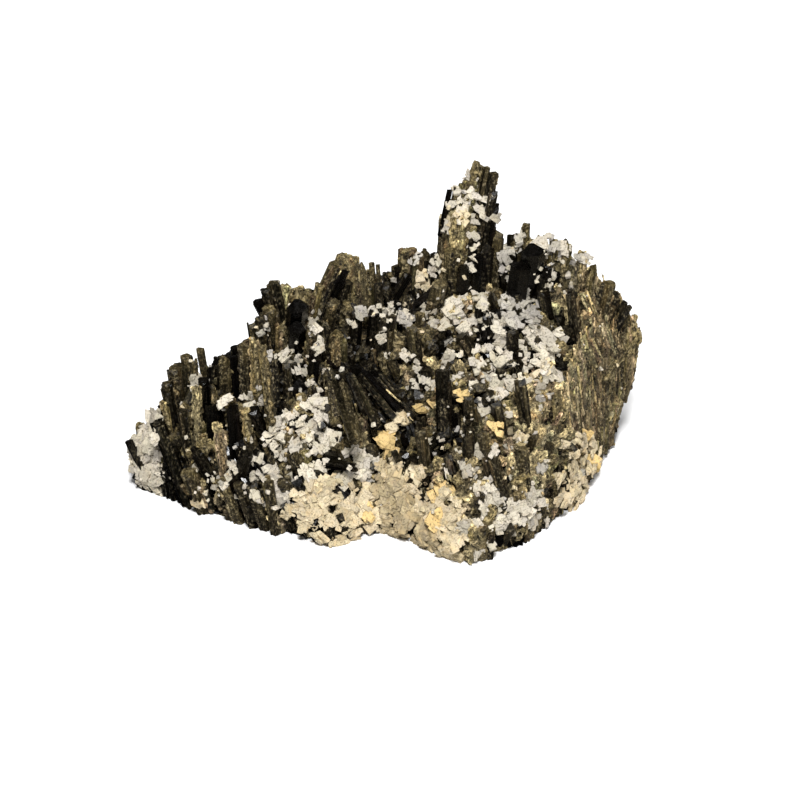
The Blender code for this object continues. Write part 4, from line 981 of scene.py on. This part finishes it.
crusts = {
    "left_block_crystals": {"size": (1.0, 2.6), "lift": (0.3, 1.2), "outlines": (
        ("white", 1.0, (
            (-42.4, 12.9), (-39.0, 13.0), (-38.2, 1.8), (-39.4, -0.8), (-43.4, 0.0), (-44.6, 8.8))),
    ), "spots": (
        (-38.6, 3.0, 1.6), (-40.5, 13.2, 1.8),
    )},
    "front_crust_crystals": {"slot": "feldspar_cream", "size": (0.8, 2.8), "lift": (0.5, 1.2),
        "yellowOut": 1.1, "blades": ((5.6, -6.6, 13.8, -12.0, 2.2, "tan"),), "outlines": (
        ("cream", 0.75, (
            (-14.9, 0.9), (-10.5, 2.1), (-2.3, 0.0), (-2.0, -6.0), (-7.0, -9.8), (-10.2, -9.0),
            (-14.2, -6.8), (-17.6, -4.4), (-17.2, -2.4))),
        ("tan", 0.95, (
            (-1.2, -1.8), (-1.2, 4.9), (1.6, 3.4), (4.6, -1.6), (7.2, -5.6), (12.4, -12.0), (9.6, -11.4),
            (5.3, -9.4), (1.4, -8.0))),
        ("cream", 0.6, (
            (-0.2, 5.4), (1.8, 6.6), (7.9, 1.2), (11.4, 0.2), (14.5, -2.6), (14.8, -7.9), (14.0, -12.4),
            (12.4, -12.0), (7.2, -5.6), (4.6, -1.6), (1.6, 3.4))),
        ("white", 0.33, (
            (-20.0, 8.6), (-17.2, 13.4), (-12.0, 15.6), (-9.6, 14.2), (-7.0, 8.8), (-3.6, 6.5), (-4.0, 1.4),
            (-10.5, 2.1), (-14.9, 0.9), (-18.0, -2.4), (-21.0, 1.6))),
    ), "spots": (
        (-11.7, 15.8, 1.8), (-12.3, 14.7, 1.4), (-1.4, 4.2, 1.8, "grey"), (-3.5, -4.4, 2.3, "yellow"),
        (9.7, -0.4, 2.8, "yellow"), (8.6, -5.5, 2.6, "yellow"), (9.3, -3.9, 1.6, "yellow"),
        (-10.2, 9.6, 1.0, "yellow"), (-3.0, 2.0, 2.0, "grey"), (-5.6, 7.6, 2.2), (-3.0, 4.6, 2.4),
        (6.6, 3.0, 1.6, "cream"),
    )},
    "lower_right_crystals": {"size": (1.0, 2.8), "lift": (0.4, 1.1), "outlines": (
        ("white", 0.25, (
            (15.9, 2.1), (20.1, 2.4), (21.5, -1.7), (25.4, 0.7), (28.5, -1.7), (28.2, -5.2), (23.6, -8.7),
            (18.4, -10.6), (15.6, -10.0), (14.9, -5.2))),
    ), "spots": (
        (16.3, 0.4, 1.8), (17.7, -0.7, 1.8), (19.4, -0.7, 1.6), (22.8, -2.6, 3.1), (25.9, -0.4, 1.8),
        (26.8, -2.6, 2.1), (25.4, -3.9, 1.6), (20.1, -5.3, 1.6), (19.6, -6.7, 1.6), (14.0, -6.7, 2.3),
        (16.3, -11.0, 1.6), (27.7, 3.9, 2.2, "grey"),
    )},
    "right_knob_crystals": {"slot": "feldspar_cream", "size": (1.0, 2.2), "lift": (0.3, 1.5),
        "yellowOut": 0.2, "outlines": (
        ("cream", 0.5, (
            (29.8, 9.1), (32.7, 10.2), (35.9, 8.8), (37.9, 5.6), (36.8, 3.6), (34.2, 2.6), (34.6, -1.2),
            (31.2, -4.0), (29.4, -1.8), (29.8, 3.5))),
    ), "spots": (
        (35.5, 5.5, 3.2, "yellow"), (36.5, 4.7, 1.8, "yellow"), (34.6, 9.4, 2.2, "yellow"),
        (35.6, 3.4, 1.8, "yellow"), (33.6, -1.6, 1.8, "yellow"), (34.1, 2.6, 1.6, "grey"),
        (31.5, -0.9, 2.8, "cream"), (32.7, -2.3, 2.1, "cream"),
    )},
    "upper_field_crystals": {"size": (0.9, 2.8), "lift": (0.5, 1.3), "outlines": (
        ("white", 0.14, (
            (20.4, 28.6), (27.3, 29.4), (30.6, 27.3), (31.3, 20.6), (27.3, 17.3), (22.0, 19.4),
            (18.0, 22.6), (19.0, 28.0))),
        ("grey", 0.6, (
            (20.8, 32.8), (23.6, 33.6), (27.0, 32.0), (27.2, 29.2), (21.0, 28.6))),
        ("white", 0.2, (
            (11.5, 35.2), (17.5, 35.4), (18.7, 31.8), (21.3, 25.2), (16.8, 24.0), (14.2, 25.9),
            (10.1, 26.6), (9.6, 30.6))),
        ("white", 0.1, (
            (10.0, 24.8), (16.8, 24.0), (21.3, 22.0), (27.3, 17.3), (22.0, 16.0), (14.0, 14.4),
            (12.0, 19.0))),
    ), "spots": (
        (14.9, 28.9, 2.8), (10.5, 28.5, 1.9), (10.9, 26.1, 1.4, "grey"), (19.6, 28.4, 1.8),
        (20.1, 25.7, 1.9), (16.3, 24.9, 1.4), (16.8, 21.9, 2.1), (11.0, 22.8, 2.8), (20.1, 22.8, 2.4),
        (18.9, 21.4, 1.4), (21.5, 23.1, 2.1), (17.9, 19.4, 1.6, "grey"), (15.2, 18.4, 2.4),
        (12.3, 19.6, 1.4), (13.7, 16.6, 1.7, "yellow"), (20.1, 18.4, 1.8), (21.9, 18.9, 1.8),
        (24.5, 22.8, 2.1), (26.6, 22.4, 1.8), (28.0, 20.7, 3.0, "cream"), (30.6, 20.7, 1.8),
        (28.0, 27.1, 3.6), (25.4, 28.0, 2.4), (29.8, 26.3, 2.4), (23.6, 25.4, 2.1), (28.0, 23.6, 2.4),
        (27.1, 18.4, 2.1), (27.7, 15.8, 2.1, "grey"), (27.1, 14.0, 1.4),
    )},
    "ridge_crystals": {"size": (0.9, 1.8), "lift": (0.8, 2.0), "outlines": (
        ("white", 0.2, (
            (26.6, 43.6), (30.4, 42.8), (34.6, 40.8), (33.0, 39.6), (28.6, 40.2), (26.4, 42.0))),
    ), "spots": (
        (25.9, 45.0, 2.2), (27.0, 43.5, 2.2), (28.4, 42.5, 1.8), (22.3, 42.2, 2.2, "grey"),
        (23.4, 43.8, 1.8, "grey"), (21.3, 40.4, 2.4, "grey"), (29.8, 43.0, 1.8, "grey"), (31.4, 41.9, 1.8),
        (33.2, 41.2, 1.8, "grey"), (34.9, 40.2, 1.6), (30.6, 41.0, 2.4, "grey"), (34.5, 40.8, 1.8, "grey"),
        (31.7, 38.0, 1.6), (29.1, 37.6, 1.4), (28.0, 35.9, 1.6), (26.6, 37.1, 1.2), (30.6, 36.1, 1.2),
        (32.9, 35.9, 1.1), (21.0, 41.7, 1.6, "grey"), (20.7, 38.9, 1.6, "grey"), (21.5, 37.1, 1.4, "grey"),
    )},
    "left_low_crystals": {"spots": (
        (-27.1, 4.7, 1.6), (-26.1, 3.7, 1.4), (-27.5, 2.6, 1.6), (-22.2, 5.6, 2.5), (-21.0, 9.3, 1.5),
        (-19.3, 9.5, 1.5), (-18.7, 7.5, 2.4), (-17.9, 5.8, 1.8), (-20.0, 4.0, 1.8), (-21.9, 3.0, 1.4),
        (-23.1, 2.1, 1.4), (-22.6, -0.9, 1.8), (-21.4, -2.5, 0.9), (-19.4, -3.0, 1.4), (-24.5, 0.5, 1.2),
        (-23.5, 8.8, 1.1), (-33.1, 3.9, 1.1), (-29.8, 0.5, 1.1), (-28.2, 0.7, 1.1), (-31.5, -0.5, 1.1),
        (-30.3, 1.8, 1.1), (-33.3, -2.6, 1.7, "cream"), (-31.7, -2.3, 1.4, "cream"), (-35.0, 9.3, 0.8),
    )},
    "back_field_crystals": {"side": "back", "size": (1.2, 2.8), "lift": (0.6, 1.6), "outlines": (
        ("white", 0.5, (
            (-26.0, 20.0), (-17.0, 24.0), (-9.0, 21.0), (-8.0, 13.0), (-16.0, 9.0), (-25.0, 12.0))),
    )},
    "upper_left_crystals": {"size": (0.9, 1.8), "lift": (0.8, 1.6), "outlines": (
        ("cream", 0.4, (
            (5.1, 38.4), (7.9, 40.0), (10.0, 38.4), (9.4, 35.4), (7.0, 34.8), (5.3, 35.7))),
    ), "spots": (
        (9.1, 39.9, 1.8), (7.9, 38.5, 1.8), (6.1, 37.3, 2.1, "cream"), (7.0, 35.9, 1.8, "cream"),
        (9.6, 38.5, 1.6), (5.2, 40.6, 2.3, "grey"), (1.8, 36.8, 1.1, "grey"),
    )},
    "peak_side_crystals": {"spots": (
        (-11.7, 31.0, 1.4), (-12.3, 29.4, 1.4), (-12.4, 28.0, 1.4), (-11.6, 25.7, 2.1), (-11.6, 24.6, 1.6),
    )},
    "shoulder_crystals": {"spots": (
        (-17.0, 24.9, 1.8), (-17.5, 23.3, 1.9), (-16.3, 22.4, 1.6), (-20.5, 23.6, 1.8, "grey"),
        (-20.7, 28.7, 1.2, "grey"), (-21.7, 27.7, 1.4, "grey"),
    )},
    "left_high_crystals": {"spots": (
        (-32.9, 19.1, 2.3), (-35.7, 15.1, 0.8),
    )},
    "left_middle_crystals": {"spots": (
        (-24.2, 16.1, 1.6), (-23.1, 16.5, 1.6), (-21.9, 15.8, 1.4), (-23.8, 14.7, 1.4), (-28.0, 15.9, 1.9),
        (-22.4, 18.0, 1.1, "grey"),
    )},
    "middle_left_crystals": {"spots": (
        (-15.2, 21.0, 1.6), (-14.4, 20.0, 2.1), (-13.1, 18.7, 1.4), (-12.3, 18.4, 1.3), (-11.7, 17.2, 1.4),
        (-10.7, 20.7, 1.1), (-7.7, 20.8, 1.2, "grey"), (-14.9, 16.1, 0.9),
    )},
    "middle_crystals": {"size": (0.9, 1.6), "lift": (1.0, 2.0), "outlines": (
        ("white", 0.22, (
            (-0.9, 31.6), (4.6, 31.4), (4.8, 29.2), (2.0, 28.4), (-0.6, 29.6))),
        ("white", 0.25, (
            (5.8, 31.2), (9.6, 31.2), (9.4, 28.4), (6.0, 28.8))),
    ), "spots": (
        (-3.9, 31.2, 1.8, "grey"), (-5.4, 29.2, 1.4), (-1.8, 31.3, 1.3), (-0.4, 31.3, 1.3),
        (0.9, 30.8, 1.3), (-0.7, 26.8, 1.6), (3.0, 30.6, 1.6), (4.0, 29.4, 2.1, "grey"), (7.0, 31.2, 1.5),
        (8.4, 31.2, 1.5), (11.0, 31.5, 2.1), (3.2, 23.5, 1.5), (0.0, 23.6, 1.1),
    )},
    "yellow_crystal": {"slot": "feldspar_yellow", "out": 2.2, "yellowOut": 2.2, "spots": (
        (2.3, 11.9, 2.6, "cream"), (1.3, 10.6, 2.2, "cream"), (0.1, 8.9, 3.0, "yellow"),
        (-0.6, 7.9, 2.0, "yellow"), (2.6, 13.2, 1.6, "cream"),
    )},
    "yellow_pair": {"slot": "feldspar_yellow", "spots": (
        (6.1, 14.9, 2.1, "yellow"), (8.4, 15.2, 1.9, "yellow"), (7.4, 14.4, 1.5, "cream"), (5.6, 20.7, 1.2),
        (7.0, 19.3, 1.4), (8.2, 18.4, 1.8), (5.4, 18.7, 1.4), (3.9, 16.1, 1.2),
    )},
    "lower_middle_crystals": {"spots": (
        (15.9, 6.8, 2.1), (13.0, 6.7, 1.1), (12.4, 4.4, 1.1), (14.5, 3.5, 1.9), (15.8, 3.4, 1.4),
        (10.9, 3.2, 1.1), (8.2, 8.8, 1.4), (9.8, 8.8, 1.1), (19.3, 6.5, 1.4), (21.9, 2.3, 0.9),
    )},
    "right_middle_crystals": {"slot": "feldspar_cream", "spots": (
        (17.2, 14.0, 2.6), (14.0, 12.3, 0.9), (12.6, 10.9, 1.4, "grey"), (18.9, 11.0, 1.9, "yellow"),
        (21.5, 13.0, 1.4), (22.4, 10.5, 2.1, "cream"), (23.6, 9.1, 1.5, "cream"), (21.4, 7.5, 1.2),
    )},
    "spire_crystals": {"spots": (
        (12.9, 52.2, 1.9), (13.2, 51.2, 2.0), (14.7, 54.4, 1.8), (15.0, 52.6, 2.0), (15.8, 51.4, 1.6),
        (13.2, 49.2, 1.9), (16.3, 49.4, 2.4), (17.3, 51.0, 1.9), (14.3, 50.0, 1.6),
        (11.4, 47.6, 2.2, "cream"), (12.8, 48.2, 1.7, "cream"), (11.0, 46.2, 1.8), (16.0, 47.0, 1.5),
        (15.6, 44.6, 1.5), (15.6, 42.8, 1.4), (15.4, 41.0, 2.0), (14.9, 39.4, 1.8),
        (14.0, 46.9, 1.4, "cream"), (19.3, 47.6, 1.8), (19.6, 46.0, 1.6), (11.2, 50.2, 1.4),
    )},
}


def addBlock(bm, at, size, tone, flatTo):
    # one crystal: blocks of different size grown into each other, nearly in line
    anyTurn()       # not used, but without it every crystal after this one would change
    lying = turnTo((flatTo + randomVector() * 0.17).normalized(), rng.uniform(0, math.tau))
    share = rng.uniform(0.7, 1.08)
    for k in range(rng.choice((4, 5, 6)) if size > 1.2 else 2):
        side = Vector((rng.uniform(-1, 1), rng.uniform(-1, 1), rng.uniform(-1, 1) * 0.25))
        part = size * (0.66 if k == 0 else rng.uniform(0.3, 0.55))
        turn = lying @ Matrix.Rotation(rng.uniform(-0.16, 0.16), 4, "X")
        turn = turn @ Matrix.Rotation(rng.uniform(-0.16, 0.16), 4, "Y")
        place = Matrix.Translation(at if k == 0 else at + (lying @ side) * size * 0.46)
        addShape(bm, rng.choice(blockShapes), place @ turn, (part * 1.25, part * 1.1, part * 0.7),
                 paleTint(tone, stains[tone], share))


def fillOutline(crust, tone, fill, outline, bm, tree, massTree):
    # a dense crust has a layer of larger crystals on the mass, and smaller ones on what is seen
    side = crust.get("side", "front")
    low, high = crust["size"]
    step = 0.5 * (low + high) / 2
    left, right = min(c[0] for c in outline), max(c[0] for c in outline)
    bottom, top = min(c[1] for c in outline), max(c[1] for c in outline)
    for row in range(int((top - bottom) / step) + 1):
        for column in range(int((right - left) / step) + 1):
            spot = (left + (column + rng.uniform(-0.5, 0.5)) * step,
                    bottom + (row + rng.uniform(-0.5, 0.5)) * step)
            size = low + (high - low) * rng.random() ** 1.6
            if not inside(spot, outline) or rng.random() > fill:
                continue
            hit, normal = surfaceUnder(massTree, *spot, side)
            addBlock(bm, hit + normal * rng.uniform(*crust["lift"]), size * 1.15, tone, normal)
            if rng.random() < 0.3:
                hit, normal = surfaceUnder(tree, *spot, side)
                flat = (normal - pictureAxes(side)[2]).normalized()
                addBlock(bm, hit + flat * rng.uniform(-0.2, 0.2), size * 0.8, tone, flat)


def makeCrusts(tree, massTree):
    for name, crust in crusts.items():
        bm = bmesh.new()
        side = crust.get("side", "front")
        for tone, fill, outline in crust.get("outlines", ()):
            fillOutline(crust, tone, fill, outline, bm, tree, massTree)
        for across, up, size, *tone in crust.get("spots", ()):
            tone = tone[0] if tone else "white"
            hit, normal = surfaceUnder(tree, across, up, side)
            flat = (normal - pictureAxes(side)[2]).normalized()
            out = crust.get("yellowOut" if tone == "yellow" else "out", 0.0)
            addBlock(bm, hit + flat * (out - 0.08 * size), size * 1.28, tone, flat)
        for across, up, tipAcross, tipUp, width, tone in crust.get("blades", ()):
            foot = surfaceUnder(massTree, across, up)[0]
            along = surfaceUnder(massTree, tipAcross, tipUp)[0] - foot
            matrix = Matrix.Translation(foot - pictureAxes()[2] * 0.9) @ turnTo(along.normalized(), 0.4)
            addShape(bm, broadShapes[8][0], matrix, (width, width, along.length), paleTint(tone, 0.2))
        finishPiece(name, bm, feldspar, crust.get("slot", "feldspar_white"),
                    "feldspar_" + name.removesuffix("_crystals"))


crumbs = {
    "counts": {"front": 300, "back": 300},
    "size": (0.3, 0.95),
    "near": 1.4,                            # how far they stray from a larger crystal
    "nearShare": 0.8,
    "anywhere": ((-45, 45), (-12, 44)),     # across and up, for the rest of them
    "tones": ("white", "white", "white", "cream", "grey"),
}


def makeCrumbs(tree):
    # small crystals strewn over both sides, most of them close to the larger ones
    bm = bmesh.new()
    for side, count in crumbs["counts"].items():
        spots = [spot for crust in crusts.values() if crust.get("side", "front") == side
                 for spot in crust.get("spots", ())]
        for k in range(count):
            if spots and rng.random() < crumbs["nearShare"]:
                across, up = rng.choice(spots)[:2]
                across, up = across + rng.gauss(0, crumbs["near"]), up + rng.gauss(0, crumbs["near"])
            else:
                across, up = (rng.uniform(*reach) for reach in crumbs["anywhere"])
            hit, normal = tree.ray_cast(*sightLine(across, up, side))[:2]
            if hit is not None and hit.z > 1.0:
                tone = rng.choice(crumbs["tones"])
                size = rng.uniform(*crumbs["size"])
                place = Matrix.Translation(hit + normal * 0.15 * size)
                addShape(bm, rng.choice(blockShapes), place @ anyTurn(), (size,) * 3,
                         paleTint(tone, stains[tone]))
    finishPiece("feldspar_crumbs", bm, feldspar, "feldspar_white")


def makePieces():
    bmMass = massLoft(0.0)
    tree = BVHTree.FromBMesh(bmMass)
    makeRock(tree)
    print("rock made")
    makeLandmarks(tree)
    makeCover(bmMass, tree)
    print("prisms made")
    both = bmesh.new()
    for piece in bpy.data.objects:
        if piece.type == "MESH" and piece.data.materials and piece.data.materials[0] == clinozoisite:
            both.from_mesh(piece.data)
    both.transform(Matrix.Translation(centre) @ Matrix.Scale(1.0 / mm, 4))
    surface = BVHTree.FromBMesh(both)
    both.free()
    makeCrusts(surface, tree)
    makeCrumbs(surface)
    print("feldspar made")


makePieces()


# Studio

studio = {
    "floor": {"halfSize": 3.0, "colour": (0.93, 0.93, 0.93, 1.0), "roughness": 0.9, "specular": 0.1},
    # place and size in metres, power in watts
    "lamps": {
        "key": ((0.0, -0.46, 0.64), 0.17, 8.8),
        "fill": ((0.50, -0.50, 0.40), 0.50, 1.9),
        "top": ((0.05, 0.16, 0.80), 0.45, 3.6),
    },
    "aim": (0.0, 0.0, 0.02),
    "sky": 0.04,
}


def makeFloor():
    values = studio["floor"]
    bm = bmesh.new()
    bmesh.ops.create_grid(bm, x_segments=1, y_segments=1, size=values["halfSize"])
    mesh = meshOf("floor", bm)
    white = bpy.data.materials.new("floorWhite")
    white.use_nodes = True
    shader = white.node_tree.nodes["Principled BSDF"]
    shader.inputs["Base Color"].default_value = values["colour"]
    shader.inputs["Roughness"].default_value = values["roughness"]
    shader.inputs["Specular IOR Level"].default_value = values["specular"]
    mesh.materials.append(white)
    floor = addObject("floor", mesh)
    floor.visible_glossy = False      # so that the black crystals stay black


def makeLamps():
    for name, (spot, size, power) in studio["lamps"].items():
        lamp = addObject(name, bpy.data.lights.new(name, "AREA"))
        lamp.visible_glossy = name == "key"
        lamp.data.shape = "DISK"
        lamp.data.size = size
        lamp.data.energy = power
        lamp.location = spot
        lamp.rotation_euler = (Vector(studio["aim"]) - lamp.location).to_track_quat("-Z", "Y").to_euler()
    world = bpy.data.worlds.new("studio")
    world.use_nodes = True
    sky = world.node_tree.nodes["Background"]
    sky.inputs["Color"].default_value = (1.0, 1.0, 1.0, 1.0)
    sky.inputs["Strength"].default_value = studio["sky"]
    bpy.context.scene.world = world
    bpy.context.scene.view_settings.view_transform = "Standard"


makeFloor()
makeLamps()
print("studio made")
